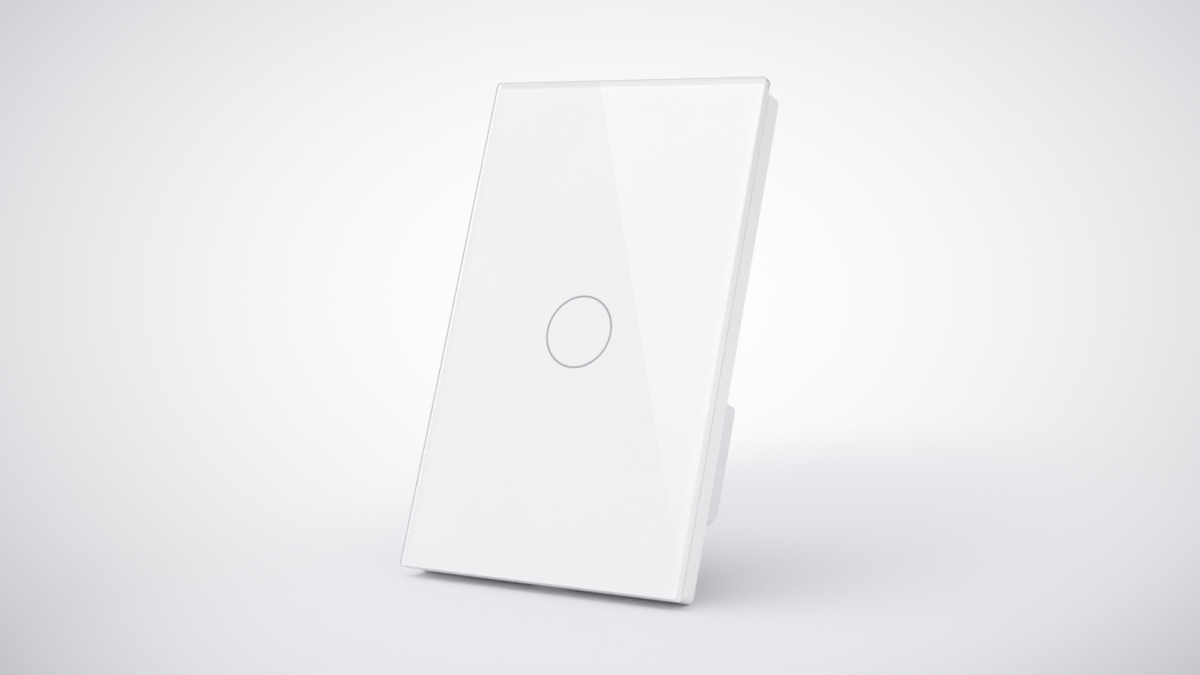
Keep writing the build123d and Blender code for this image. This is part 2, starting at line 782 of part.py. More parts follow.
# Rear housing: a box open to the room, with a deeper part over the terminals and the relay
with BuildPart() as rear_housing:
    with BuildSketch(facing_right(-housing_width / 2)):
        with BuildLine():
            Polyline(
                (0, housing_bottom),
                (deep_outer - toe_chamfer, housing_bottom),
                (deep_outer, housing_bottom + toe_chamfer),
                (deep_outer, step_top),
                (shallow_outer, step_top),
                (shallow_outer, housing_top),
                (0, housing_top),
                close=True,
            )
        make_face()
    extrude(amount=housing_width)
    rear_edges = rear_housing.edges().filter_by(Axis.X).group_by(Axis.Y)
    step_edge = rear_edges[-1].sort_by(Axis.Z)[-1]
    top_edge = rear_edges[-3].sort_by(Axis.Z)[-1]
    fillet(step_edge, step_fillet)
    fillet(top_edge, housing_edge_fillet)
    with BuildSketch(facing_room(0)):
        with Locations((0, housing_middle)):
            RectangleRounded(housing_width, housing_height, housing_corner_radius)
    extrude(amount=-deep_outer, mode=Mode.INTERSECT)
    with BuildSketch(facing_room(0)):
        with Locations((0, (housing_inner_top + housing_inner_bottom) / 2)):
            Rectangle(housing_inner_width, housing_inner_top - housing_inner_bottom)
    extrude(amount=-shallow_inner, mode=Mode.SUBTRACT)
    with BuildSketch(facing_right(-housing_inner_width / 2)):
        with BuildLine():
            Polyline(
                (0, housing_inner_bottom),
                (deep_outer - toe_chamfer - housing_wall / 2, housing_inner_bottom),
                (deep_inner, housing_bottom + toe_chamfer + housing_wall / 2),
                (deep_inner, step_inner_top),
                (0, step_inner_top),
                close=True,
            )
        make_face()
    extrude(amount=housing_inner_width, mode=Mode.SUBTRACT)
    # Corner bosses for the housing screws and pillars for the power board
    with BuildSketch(facing_room(0)):
        with Locations(*boss_spots):
            Circle(boss_radius)
    extrude(amount=-boss_depth)
    for spot in boss_spots:
        wall_x = housing_inner_width / 2 * (1 if spot[0] > 0 else -1)
        wall_z = housing_inner_top if spot[1] > 0 else housing_inner_bottom
        with BuildSketch(facing_room(0)):
            with Locations(((spot[0] + wall_x) / 2, spot[1])):
                Rectangle(abs(wall_x - spot[0]), boss_radius)
            with Locations((spot[0], (spot[1] + wall_z) / 2)):
                Rectangle(boss_radius, abs(wall_z - spot[1]))
        extrude(amount=-boss_depth)
    with BuildSketch(facing_room(0)):
        with Locations(*boss_spots):
            Circle(housing_screw_radius + screw_bore_clearance)
    extrude(amount=-boss_depth, mode=Mode.SUBTRACT)
    with BuildSketch(facing_room(board_back)):
        with Locations(*pillar_spots):
            Circle(pillar_radius)
    extrude(amount=-(shallow_inner - board_back))
    with BuildSketch(facing_room(board_back)):
        with Locations(*pillar_spots):
            Circle(board_screw_radius + screw_bore_clearance)
    extrude(amount=-board_screw_length, mode=Mode.SUBTRACT)
    # Opening for the terminal block's nose, driver holes over the screws and vent slots
    with BuildSketch(facing_up(housing_bottom)):
        with Locations((0, wire_depth)):
            Rectangle(block_width, 2 * (wire_bore_radius + nose_margin + nose_clearance))
    extrude(amount=housing_wall, mode=Mode.SUBTRACT)
    with BuildSketch(facing_room(deep_inner)):
        with Locations(*[(x, clamp_centre_z) for x in pole_xs]):
            Circle(driver_hole_radius)
    extrude(amount=-housing_wall, mode=Mode.SUBTRACT)
    with BuildSketch(facing_room(shallow_inner)):
        with Locations((0, vent_rise + vent_pitch * vent_count / 2)):
            with GridLocations(0, vent_pitch, 1, vent_count):
                SlotOverall(vent_length, vent_width)
    extrude(amount=-housing_wall, mode=Mode.SUBTRACT)
save(rear_housing, "rear_housing")

# Power board, notched round the bosses and drilled for its screws and the terminals' legs
tongue_leg_top = block_top + block_rear_gap + tongue_thickness
with BuildPart() as power_board:
    with BuildSketch(facing_room(board_back)):
        with Locations((0, (power_board_top - power_board_bottom) / 2)):
            Rectangle(power_board_width, power_board_top + power_board_bottom)
        with Locations(*boss_spots):
            Rectangle(
                4 * boss_radius,
                4 * boss_radius,
                mode=Mode.SUBTRACT,
            )
        with Locations(*pillar_spots):
            Circle(board_screw_radius + screw_bore_clearance, mode=Mode.SUBTRACT)
    extrude(amount=power_board_thickness)
save(power_board, "power_board")

# Screws that hold the power board on its pillars
with BuildPart() as power_board_screws:
    with BuildSketch(facing_room(board_front)):
        with Locations(*pillar_spots):
            Circle(board_screw_head_radius)
    extrude(amount=board_screw_head_height)
    fillet(power_board_screws.faces().group_by(Axis.Y)[0].edges(), board_screw_head_height / 3)
    with BuildSketch(facing_room(board_front)):
        with Locations(*pillar_spots):
            Circle(board_screw_radius)
    extrude(amount=-board_screw_length)
    with BuildSketch(facing_room(board_front - board_screw_head_height / 2)):
        with Locations(*pillar_spots):
            Rectangle(2 * board_screw_radius, screw_cross_width)
            Rectangle(screw_cross_width, 2 * board_screw_radius)
    extrude(amount=board_screw_head_height / 2, mode=Mode.SUBTRACT)
save(power_board_screws, "power_board_screws")

# Terminal block: a pocket for each clamp, a slot for each tongue and a funnel for each wire
nose_half_depth = wire_bore_radius + nose_margin
with BuildPart() as terminal_block:
    with BuildSketch(facing_room(component_seat)):
        with Locations((0, (block_bottom + block_top) / 2)):
            Rectangle(block_width, block_top - block_bottom)
    extrude(amount=-(block_back - component_seat))
    toe_depth = block_back - (deep_inner - toe_chamfer)
    with BuildSketch(facing_right(-block_width / 2)):
        with BuildLine():
            Polyline(
                (block_back, block_bottom),
                (block_back - toe_depth - clamp_clearance, block_bottom),
                (block_back, block_bottom + toe_depth + clamp_clearance),
                close=True,
            )
        make_face()
    extrude(amount=block_width, mode=Mode.SUBTRACT)
    with BuildSketch(facing_up(housing_bottom)):
        with Locations((0, wire_depth)):
            Rectangle(block_width - 2 * nose_clearance, 2 * nose_half_depth)
    extrude(amount=housing_wall)
    with BuildSketch(facing_room(clamp_front - clamp_clearance)):
        with Locations(*[(x, clamp_centre_z) for x in pole_xs]):
            Rectangle(clamp_width + 2 * clamp_clearance, block_pocket_length)
    extrude(amount=-(block_back - clamp_front + clamp_clearance), mode=Mode.SUBTRACT)
    with BuildSketch(facing_room(tongue_front)):
        with Locations(*[(x, block_pocket_top + block_upper_wall / 2) for x in pole_xs]):
            Rectangle(tongue_width, block_upper_wall)
    extrude(amount=-tongue_thickness, mode=Mode.SUBTRACT)
    with BuildSketch(facing_up(housing_bottom)):
        with Locations(*[(x, wire_depth) for x in pole_xs]):
            Circle(wire_bore_radius)
    extrude(amount=housing_wall + block_wall, mode=Mode.SUBTRACT)
    funnel_rims = terminal_block.edges().filter_by(GeomType.CIRCLE).group_by(Axis.Z)[0]
    chamfer(funnel_rims, wire_bore_chamfer)
save(terminal_block, "terminal_block")

# Terminal tongues: flat bars through the clamps, each with a leg down to the power board
tongue_tip = block_pocket_bottom + tongue_end_gap
with BuildPart() as terminal_tongues:
    for pole_x in pole_xs:
        with BuildSketch(facing_right(pole_x - tongue_width / 2)):
            with BuildLine():
                Polyline(
                    (tongue_front, tongue_tip),
                    (tongue_back, tongue_tip),
                    (tongue_back, tongue_leg_top),
                    (board_back, tongue_leg_top),
                    (board_back, tongue_leg_top - tongue_thickness),
                    (tongue_front, tongue_leg_top - tongue_thickness),
                    close=True,
                )
            make_face()
        extrude(amount=tongue_width)
save(terminal_tongues, "terminal_tongues")

# Clamps and screws: turning a screw draws its clamp up and grips the wire under the tongue
for pole, pole_x in enumerate(pole_xs, start=1):
    with BuildPart() as wire_clamp:
        with BuildSketch(facing_up(clamp_centre_z - clamp_length / 2)):
            with Locations((pole_x, (clamp_front + clamp_back) / 2)):
                Rectangle(clamp_width, clamp_back - clamp_front)
            with Locations((pole_x, (clamp_floor + clamp_bridge_front) / 2)):
                Rectangle(clamp_width - 2 * clamp_wall, clamp_bridge_front - clamp_floor, mode=Mode.SUBTRACT)
        extrude(amount=clamp_length)
        with BuildSketch(facing_room(clamp_back)):
            with Locations((pole_x, clamp_centre_z)):
                Circle(terminal_screw_radius + terminal_screw_clearance)
        extrude(amount=clamp_bridge, mode=Mode.SUBTRACT)
    save(wire_clamp, f"wire_clamp_{pole}")

    with BuildPart() as terminal_screw:
        with BuildSketch(facing_room(head_front)):
            with Locations((pole_x, clamp_centre_z)):
                Circle(terminal_screw_radius)
        extrude(amount=head_front - tongue_back - terminal_screw_clearance)
        with BuildSketch(facing_room(head_back)):
            with Locations((pole_x, clamp_centre_z)):
                Circle(terminal_head_radius)
        extrude(amount=terminal_head_height)
        with BuildSketch(facing_room(head_back)):
            with Locations((pole_x, clamp_centre_z)):
                Rectangle(2 * terminal_head_radius, terminal_slot_width)
                Rectangle(terminal_slot_width, 2 * terminal_screw_radius)
        extrude(amount=terminal_slot_depth, mode=Mode.SUBTRACT)
    save(terminal_screw, f"terminal_screw_{pole}")

# Relay: base, magnet, hinged armature with its contact leaf, fixed contact and cover
with BuildPart() as relay_base:
    with BuildSketch(facing_room(relay_base_back)):
        with Locations((relay_centre_x, relay_centre_z)):
            Rectangle(relay_length, relay_width)
    extrude(amount=relay_base_thickness)
    with BuildSketch(facing_room(relay_base_back)):
        with Locations((contact_x, relay_centre_z)):
            Rectangle(fixed_arm_thickness, fixed_arm_width)
    extrude(amount=relay_base_thickness, mode=Mode.SUBTRACT)
save(relay_base, "relay_base")

with BuildPart() as relay_case:
    with BuildSketch(facing_room(relay_back)):
        with Locations((relay_centre_x, relay_centre_z)):
            Rectangle(relay_length, relay_width)
    extrude(amount=relay_back - relay_base_back)
    fillet(relay_case.faces().sort_by(Axis.Y)[-1].edges(), relay_case_fillet)
    offset(amount=-relay_case_wall, openings=relay_case.faces().sort_by(Axis.Y)[0])
save(relay_case, "relay_case")

yoke_foot_right = coil_x + bobbin_flange_radius
with BuildPart() as relay_yoke:
    with BuildSketch(facing_up(relay_centre_z - yoke_width / 2)):
        with BuildLine():
            Polyline(
                (yoke_left, yoke_front),
                (yoke_foot_right, yoke_front),
                (yoke_foot_right, bobbin_front),
                (yoke_left + yoke_thickness, bobbin_front),
                (yoke_left + yoke_thickness, yoke_back),
                (yoke_left, yoke_back),
                close=True,
            )
        make_face()
    extrude(amount=yoke_width)
save(relay_yoke, "relay_yoke")

coil_axis = Plane(origin=(coil_x, bobbin_front, relay_centre_z), x_dir=(1, 0, 0), z_dir=(0, 1, 0))
coil_length = bobbin_back - bobbin_front
with BuildPart() as relay_core:
    with BuildSketch(coil_axis):
        Circle(core_radius)
    extrude(amount=coil_length)
    with BuildSketch(coil_axis.offset(coil_length)):
        Circle(pole_radius)
    extrude(amount=pole_thickness)
save(relay_core, "relay_core")

bobbin_bore = core_radius + bobbin_bore_clearance
with BuildPart() as relay_bobbin:
    with BuildSketch(coil_axis):
        Circle(bobbin_bore + bobbin_hub_wall)
    extrude(amount=coil_length)
    for cheek in (0, coil_length - bobbin_flange_thickness):
        with BuildSketch(coil_axis.offset(cheek)):
            Circle(bobbin_flange_radius)
        extrude(amount=bobbin_flange_thickness)
    with BuildSketch(coil_axis):
        Circle(bobbin_bore)
    extrude(amount=coil_length, mode=Mode.SUBTRACT)
save(relay_bobbin, "relay_bobbin")

with BuildPart() as relay_winding:
    with BuildSketch(coil_axis.offset(bobbin_flange_thickness)):
        Circle(winding_radius)
        Circle(bobbin_bore + bobbin_hub_wall, mode=Mode.SUBTRACT)
    extrude(amount=coil_length - 2 * bobbin_flange_thickness)
save(relay_winding, "relay_winding")

armature_right = coil_x + pole_radius + armature_overhang
with BuildPart() as relay_armature:
    with BuildSketch(facing_room(armature_back)):
        with Locations(((yoke_left + armature_right) / 2, relay_centre_z)):
            Rectangle(armature_right - yoke_left, yoke_width)
    extrude(amount=armature_thickness)
    chamfer(relay_armature.edges().filter_by(Axis.Y), armature_thickness / 2)
save(relay_armature, "relay_armature")
print("armature hinge", round(hinge_x, 3), round(hinge_depth, 3), round(relay_centre_z, 3))

leaf_left = yoke_left + leaf_root
with BuildPart() as moving_contact:
    with BuildSketch(facing_room(leaf_front + leaf_thickness)):
        with Locations(((leaf_left + contact_x + contact_radius) / 2, relay_centre_z)):
            Rectangle(contact_x + contact_radius - leaf_left, leaf_width)
    extrude(amount=leaf_thickness)
    with BuildSketch(facing_room(leaf_front)):
        with Locations((contact_x, relay_centre_z)):
            Circle(contact_radius)
    extrude(amount=contact_height)
save(moving_contact, "moving_contact")

fixed_contact_front = fixed_contact_back - contact_height
with BuildPart() as fixed_contact:
    with BuildSketch(facing_room(fixed_contact_back)):
        with Locations((contact_x, relay_centre_z)):
            Circle(contact_radius)
    extrude(amount=contact_height)
    with BuildSketch(facing_room(fixed_contact_front)):
        with Locations((contact_x, relay_centre_z)):
            Rectangle(2 * contact_radius, fixed_arm_width)
    extrude(amount=fixed_arm_thickness)
    with BuildSketch(facing_room(fixed_contact_front)):
        with Locations((contact_x, relay_centre_z)):
            Rectangle(fixed_arm_thickness, fixed_arm_width)
    extrude(amount=fixed_contact_front - board_back)
save(fixed_contact, "fixed_contact")

# Transformer: bobbin, wrapped winding and a core of two E halves
with BuildPart() as transformer_core:
    with BuildSketch(facing_up(transformer_centre_z - transformer_core_depth / 2)):
        with Locations((transformer_centre_x, (core_front + core_end) / 2)):
            Rectangle(transformer_core_width, transformer_core_height)
        window_side = (transformer_core_width - transformer_middle_leg) / 2 - transformer_leg
        window_centre = (transformer_middle_leg + window_side) / 2
        for side in (-1, 1):
            with Locations((transformer_centre_x + side * window_centre, (core_front + core_end) / 2)):
                Rectangle(
                    window_side,
                    transformer_core_height - 2 * transformer_leg,
                    mode=Mode.SUBTRACT,
                )
    extrude(amount=transformer_core_depth)
save(transformer_core, "transformer_core")

sleeve_inner_x = transformer_middle_leg + 2 * bobbin_sleeve_gap
sleeve_inner_z = transformer_core_depth + 2 * bobbin_sleeve_gap
sleeve_outer_x = sleeve_inner_x + 2 * bobbin_sleeve_wall
sleeve_outer_z = sleeve_inner_z + 2 * bobbin_sleeve_wall
cheek_x = transformer_middle_leg + 2 * window_side - 2 * bobbin_sleeve_gap
cheek_z = sleeve_outer_z + 2 * transformer_winding_wall
sleeve_front = core_front + transformer_leg
sleeve_back = core_end - transformer_leg
transformer_spot = (transformer_centre_x, transformer_centre_z)
with BuildPart() as transformer_bobbin:
    with BuildSketch(facing_room(core_front)):
        with Locations(transformer_spot):
            Rectangle(transformer_base_width, transformer_base_depth)
    extrude(amount=transformer_base_thickness)
    with BuildSketch(facing_room(sleeve_front)):
        with Locations(transformer_spot):
            Rectangle(sleeve_outer_x, sleeve_outer_z)
    extrude(amount=-(sleeve_back - sleeve_front))
    for cheek_front in (sleeve_front, sleeve_back - bobbin_cheek):
        with BuildSketch(facing_room(cheek_front)):
            with Locations(transformer_spot):
                Rectangle(cheek_x, cheek_z)
        extrude(amount=-bobbin_cheek)
    for side in (-1, 1):
        with BuildSketch(facing_room(core_front)):
            with Locations((
                transformer_centre_x,
                transformer_centre_z + side * (transformer_core_depth + cheek_z + 2 * bobbin_sleeve_gap) / 4,
            )):
                Rectangle(cheek_x, (cheek_z - transformer_core_depth) / 2 - bobbin_sleeve_gap)
        extrude(amount=-transformer_leg)
    with BuildSketch(facing_room(sleeve_front)):
        with Locations(transformer_spot):
            Rectangle(sleeve_inner_x, sleeve_inner_z)
    extrude(amount=-(sleeve_back - sleeve_front), mode=Mode.SUBTRACT)
save(transformer_bobbin, "transformer_bobbin")

with BuildPart() as transformer_winding:
    with BuildSketch(facing_room(sleeve_front + bobbin_cheek)):
        with Locations(transformer_spot):
            RectangleRounded(cheek_x, cheek_z, transformer_winding_fillet)
            Rectangle(sleeve_outer_x, sleeve_outer_z, mode=Mode.SUBTRACT)
    extrude(amount=-(sleeve_back - sleeve_front - 2 * bobbin_cheek))
save(transformer_winding, "transformer_winding")

# Electrolytic capacitors lying on the power board, each crimped near one end
for label, radius, length, x, z in (
    (
        "filter_capacitor",
        filter_capacitor_radius,
        filter_capacitor_length,
        filter_capacitor_x,
        filter_capacitor_z,
    ),
    (
        "output_capacitor",
        output_capacitor_radius,
        output_capacitor_length,
        output_capacitor_x,
        output_capacitor_z,
    ),
):
    with BuildPart() as capacitor:
        end = Plane(origin=(x - length / 2, component_seat + radius, z), z_dir=(1, 0, 0))
        with BuildSketch(end):
            Circle(radius)
        extrude(amount=length)
        fillet(capacitor.edges().filter_by(GeomType.CIRCLE), capacitor_crimp_depth)
        with BuildSketch(end.offset(capacitor_crimp_setback)):
            Circle(radius)
            Circle(radius - capacitor_crimp_depth, mode=Mode.SUBTRACT)
        extrude(amount=capacitor_crimp_width, mode=Mode.SUBTRACT)
    save(capacitor, label)

# Boxed safety capacitor
with BuildPart() as safety_capacitor:
    with BuildSketch(facing_room(component_seat)):
        with Locations((safety_capacitor_x, safety_capacitor_z)):
            Rectangle(safety_capacitor_length, safety_capacitor_width)
    extrude(amount=-safety_capacitor_height)
    fillet(safety_capacitor.faces().sort_by(Axis.Y)[-1].edges(), safety_capacitor_fillet)
save(safety_capacitor, "safety_capacitor")

# Varistor: a dipped disc that stands on the board
with BuildPart() as varistor:
    with BuildSketch(facing_up(varistor_z - varistor_thickness / 2)):
        with Locations((varistor_x, component_seat + varistor_radius)):
            Circle(varistor_radius)
    extrude(amount=varistor_thickness)
    fillet(varistor.edges().filter_by(GeomType.CIRCLE), varistor_rim)
save(varistor, "varistor")

# Fuse with its two end caps
with BuildPart() as fuse:
    end = Plane(origin=(fuse_x - fuse_length / 2, component_seat + fuse_radius, fuse_z), z_dir=(1, 0, 0))
    with BuildSketch(end):
        Circle(fuse_radius - fuse_cap_step)
    extrude(amount=fuse_length)
    for cap_start in (0, fuse_length - fuse_cap_length):
        with BuildSketch(end.offset(cap_start)):
            Circle(fuse_radius)
        extrude(amount=fuse_cap_length)
save(fuse, "fuse")

# Bridge rectifier
with BuildPart() as rectifier:
    with BuildSketch(facing_room(component_seat)):
        with Locations((rectifier_x, rectifier_z)):
            Rectangle(rectifier_length, rectifier_width)
    extrude(amount=-rectifier_height)
    chamfer(rectifier.faces().sort_by(Axis.Y)[-1].edges(), rectifier_chamfer)
save(rectifier, "rectifier")
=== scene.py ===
"""Look of a wall touch switch with a white glass panel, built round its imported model.

The scene adds the studio, the camera, a finish for every piece and the small pieces that the solids leave out.
Sizes in the fields are millimetres in the model's own frame: +X right, +Y into the wall and +Z up.
"""

import logging
import math
from dataclasses import dataclass
from enum import Enum
from functools import partial
from typing import Callable, Iterable, Sequence

import bmesh
import bpy
from mathutils import Matrix, Vector


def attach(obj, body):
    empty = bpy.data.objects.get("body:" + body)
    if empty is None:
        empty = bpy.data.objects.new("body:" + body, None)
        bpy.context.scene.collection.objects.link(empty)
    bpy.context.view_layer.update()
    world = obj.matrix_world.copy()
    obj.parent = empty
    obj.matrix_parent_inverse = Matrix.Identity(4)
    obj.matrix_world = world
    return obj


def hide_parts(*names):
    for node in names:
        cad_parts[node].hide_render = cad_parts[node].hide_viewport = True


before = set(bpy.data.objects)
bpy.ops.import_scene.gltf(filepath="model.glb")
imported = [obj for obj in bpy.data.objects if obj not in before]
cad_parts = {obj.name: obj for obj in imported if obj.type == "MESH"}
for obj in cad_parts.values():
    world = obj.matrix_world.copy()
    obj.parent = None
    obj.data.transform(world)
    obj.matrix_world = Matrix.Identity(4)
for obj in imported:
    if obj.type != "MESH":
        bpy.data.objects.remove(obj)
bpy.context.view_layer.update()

log = logging.getLogger("wall_touch_switch")

MM = 0.001
# Heights between which painted shade makes the sides of glass and frame darker at the top, lighter towards the floor
PAINTED_SHADE_TOP, PAINTED_SHADE_LOW = 58 * MM, -5 * MM
# What every bevel here has in common: plain round edges of one width, in the finish of the faces beside them
BEVEL = {"offset_type": "OFFSET", "profile": 0.5, "affect": "EDGES", "material": -1}

Point = tuple[float, float, float]
Spot = tuple[float, float]
Mesh = bmesh.types.BMesh
Node = bpy.types.Node
Socket = bpy.types.NodeSocket
Adder = Callable[..., Node]


def linear(shade: str) -> tuple[float, float, float, float]:
    """Turn an sRGB hex colour to the linear colour that the shaders take.

    Args:
        shade: Six hex digits after a hash sign.

    Returns:
        Red, green, blue and an alpha of 1.
    """
    parts = [int(shade[start:start + 2], 16) / 255 for start in (1, 3, 5)]
    red, green, blue = (c / 12.92 if c <= 0.04045 else ((c + 0.055) / 1.055) ** 2.4 for c in parts)
    return red, green, blue, 1.0


def add_node(tree: bpy.types.NodeTree, kind: str, inputs: dict[str | int, object] | None = None,
             **settings: object) -> Node:
    """Add a node with its settings, input values and links.

    Args:
        tree: Node tree that takes the node.
        kind: Blender's name for the kind of node, without the ShaderNode that each of them starts with.
        inputs: Values, hex colours, sockets or nodes, by the name or number of the input that takes them. A node
            stands for the first of its outputs that is in use.
        settings: Properties of the node itself.

    Returns:
        The new node.
    """
    node = tree.nodes.new("ShaderNode" + kind)
    for name, value in settings.items():
        setattr(node, name, value)
    for name, value in (inputs or {}).items():
        if isinstance(value, Node):
            value = next(output for output in value.outputs if output.enabled)
        if isinstance(value, Socket):
            tree.links.new(value, node.inputs[name])
        else:
            node.inputs[name].default_value = linear(value) if isinstance(value, str) else value
    return node


def empty_tree(owner: bpy.types.Material | bpy.types.World) -> Adder:
    """Empty the node tree of a material or world.

    Args:
        owner: The material or world.

    Returns:
        The function that adds nodes to its tree.
    """
    owner.use_nodes = True
    owner.node_tree.nodes.clear()
    return partial(add_node, owner.node_tree)


def per_metre(size: float) -> float:
    """Give the texture scale whose features have this size in millimetres."""
    return 1.0 / (size * MM)


class Finish:
    """What all finishes share: a material that is made once and then found by its name."""

    name: str

    def material(self) -> bpy.types.Material:
        """Give this finish's material, and make it the first time it is asked for.

        Returns:
            The material.
        """
        made = bpy.data.materials.get(self.name)
        if made is None:
            made = bpy.data.materials.new(self.name)
            add = empty_tree(made)
            add("OutputMaterial", {"Surface": self.shade(add, add("TexCoord").outputs["Object"])})
        return made

    def shade(self, add: Adder, place: Socket) -> Node:
        """Fill the material's node tree; each finish does this in its own way, with the same arguments.

        Args:
            add: Adds a node to the tree.
            place: Object coordinates, in metres.

        Returns:
            The shader.
        """
        raise NotImplementedError


@dataclass(frozen=True)
class MouldedPlastic(Finish):
    """Injection-moulded plastic: nearly even colour with faint flow marks, and the fine grain of a spark-eroded mould.

    The flow marks keep a large face from looking painted, the grain breaks up its highlight, and the handling
    marks, wider than the grain, leave soft patches that shine a little more. Painted shade can make its upper part
    dimmer than its lower part, by a given share.
    """

    name: str
    base: str
    flow: str
    rough_low: float = 0.36
    rough_high: float = 0.50
    flow_size: float = 14.0
    grain: float = 0.35
    grain_depth: float = 0.006
    bleed: float = 0.0
    handling: float = 22.0
    painted_height_shade: float = 0.0

    def shade(self, add: Adder, place: Socket) -> Node:
        """Mix two shades along the flow marks, paint shade on the upper part and roughen with the mould's grain."""
        flow = add("TexNoise", {
            "Vector": place, "Scale": per_metre(self.flow_size), "Detail": 3.0, "Distortion": 0.6})
        mixed = add("Mix", {0: flow, 6: self.base, 7: self.flow}, data_type="RGBA")
        height = add("SeparateXYZ", {0: place}).outputs[2]
        # Painted shade: the upper part is darker than the lower part by the given share
        dim = add("MapRange", {0: height, 1: PAINTED_SHADE_TOP, 2: PAINTED_SHADE_LOW, 3: 1.0 - self.painted_height_shade, 4: 1.0})
        colour = add("VectorMath", {0: mixed, "Scale": dim}, operation="SCALE")
        grain = add("TexNoise", {"Vector": place, "Scale": per_metre(self.grain), "Detail": 2.0})
        handled = add("TexNoise", {
            "Vector": place, "Scale": per_metre(self.handling), "Detail": 4.0, "Roughness": 0.65})
        dull = add("Math", {0: grain, 1: handled}, operation="ADD")
        rough = add("MapRange", {0: dull, 1: 0.7, 2: 1.3, 3: self.rough_low, 4: self.rough_high})
        relief = add("Bump", {"Height": grain, "Distance": self.grain_depth * MM, "Strength": 0.6})
        return add("BsdfPrincipled", {
            "Base Color": colour, "Roughness": rough, "Normal": relief, "IOR": 1.5,
            "Subsurface Weight": self.bleed, "Subsurface Scale": 0.8 * MM})


@dataclass(frozen=True)
class PlatedMetal(Finish):
    """Plated or drawn metal: a bright base with darker patches, fine drawing lines and rubbed spots that shine more.

    The patches show where the plate is thin, and the lines stretch the highlight across the way the tool ran.
    """

    name: str
    base: str
    tarnish: str
    rough_low: float = 0.22
    rough_high: float = 0.42
    patch: float = 2.5
    line: float = 0.06
    line_depth: float = 0.002

    def shade(self, add: Adder, place: Socket) -> Node:
        """Tint the metal in patches and cut fine lines along Y, the way its tool was drawn."""
        patches = add("TexNoise", {
            "Vector": place, "Scale": per_metre(self.patch), "Detail": 4.0, "Roughness": 0.6})
        spread = add("MapRange", {0: patches, 1: 0.35, 2: 0.7})
        colour = add("Mix", {0: spread, 6: self.base, 7: self.tarnish}, data_type="RGBA")
        along = add("Mapping", {"Vector": place, "Scale": (1.0, 0.08, 1.0)})
        lines = add("TexNoise", {"Vector": along, "Scale": per_metre(self.line), "Detail": 1.0})
        rough = add("MapRange", {0: lines, 1: 0.3, 2: 0.7, 3: self.rough_low, 4: self.rough_high})
        relief = add("Bump", {"Height": lines, "Distance": self.line_depth * MM, "Strength": 0.5})
        return add("BsdfPrincipled", {"Base Color": colour, "Metallic": 1.0, "Roughness": rough, "Normal": relief})


@dataclass(frozen=True)
class WoundWire(Finish):
    """Enamelled wire wound in close layers round the Y axis: bright crowns, painted shade in the gaps between turns.

    The real wire is 0.05 mm, too fine to show, so the turns are drawn as coarse as the eye needs to see a winding.
    """

    name: str = "enamelled_copper_winding"
    crown: str = "#B96A35"
    # Painted shade in the gaps between the turns
    gap: str = "#5A2A12"
    turn: float = 0.22

    def shade(self, add: Adder, place: Socket) -> Node:
        """Band the metal along Y and let each layer wander a little."""
        turns = add("TexWave", {
            "Vector": place, "Scale": per_metre(self.turn) * math.pi / 10, "Distortion": 0.6, "Detail": 1.0,
            "Detail Scale": 0.4}, bands_direction="Y").outputs[1]
        varnish = add("TexNoise", {"Vector": place, "Scale": per_metre(2.0), "Detail": 3.0})
        # Painted shade darkens the gaps between the turns
        colour = add("Mix", {0: turns, 6: self.gap, 7: self.crown}, data_type="RGBA")
        rough = add("MapRange", {0: varnish, 1: 0.3, 2: 0.7, 3: 0.2, 4: 0.38})
        relief = add("Bump", {"Height": turns, "Distance": 0.05 * MM, "Strength": 0.8})
        return add("BsdfPrincipled", {
            "Base Color": colour, "Metallic": 0.85, "Roughness": rough, "Normal": relief, "Coat Weight": 0.5,
            "Coat Roughness": 0.15})


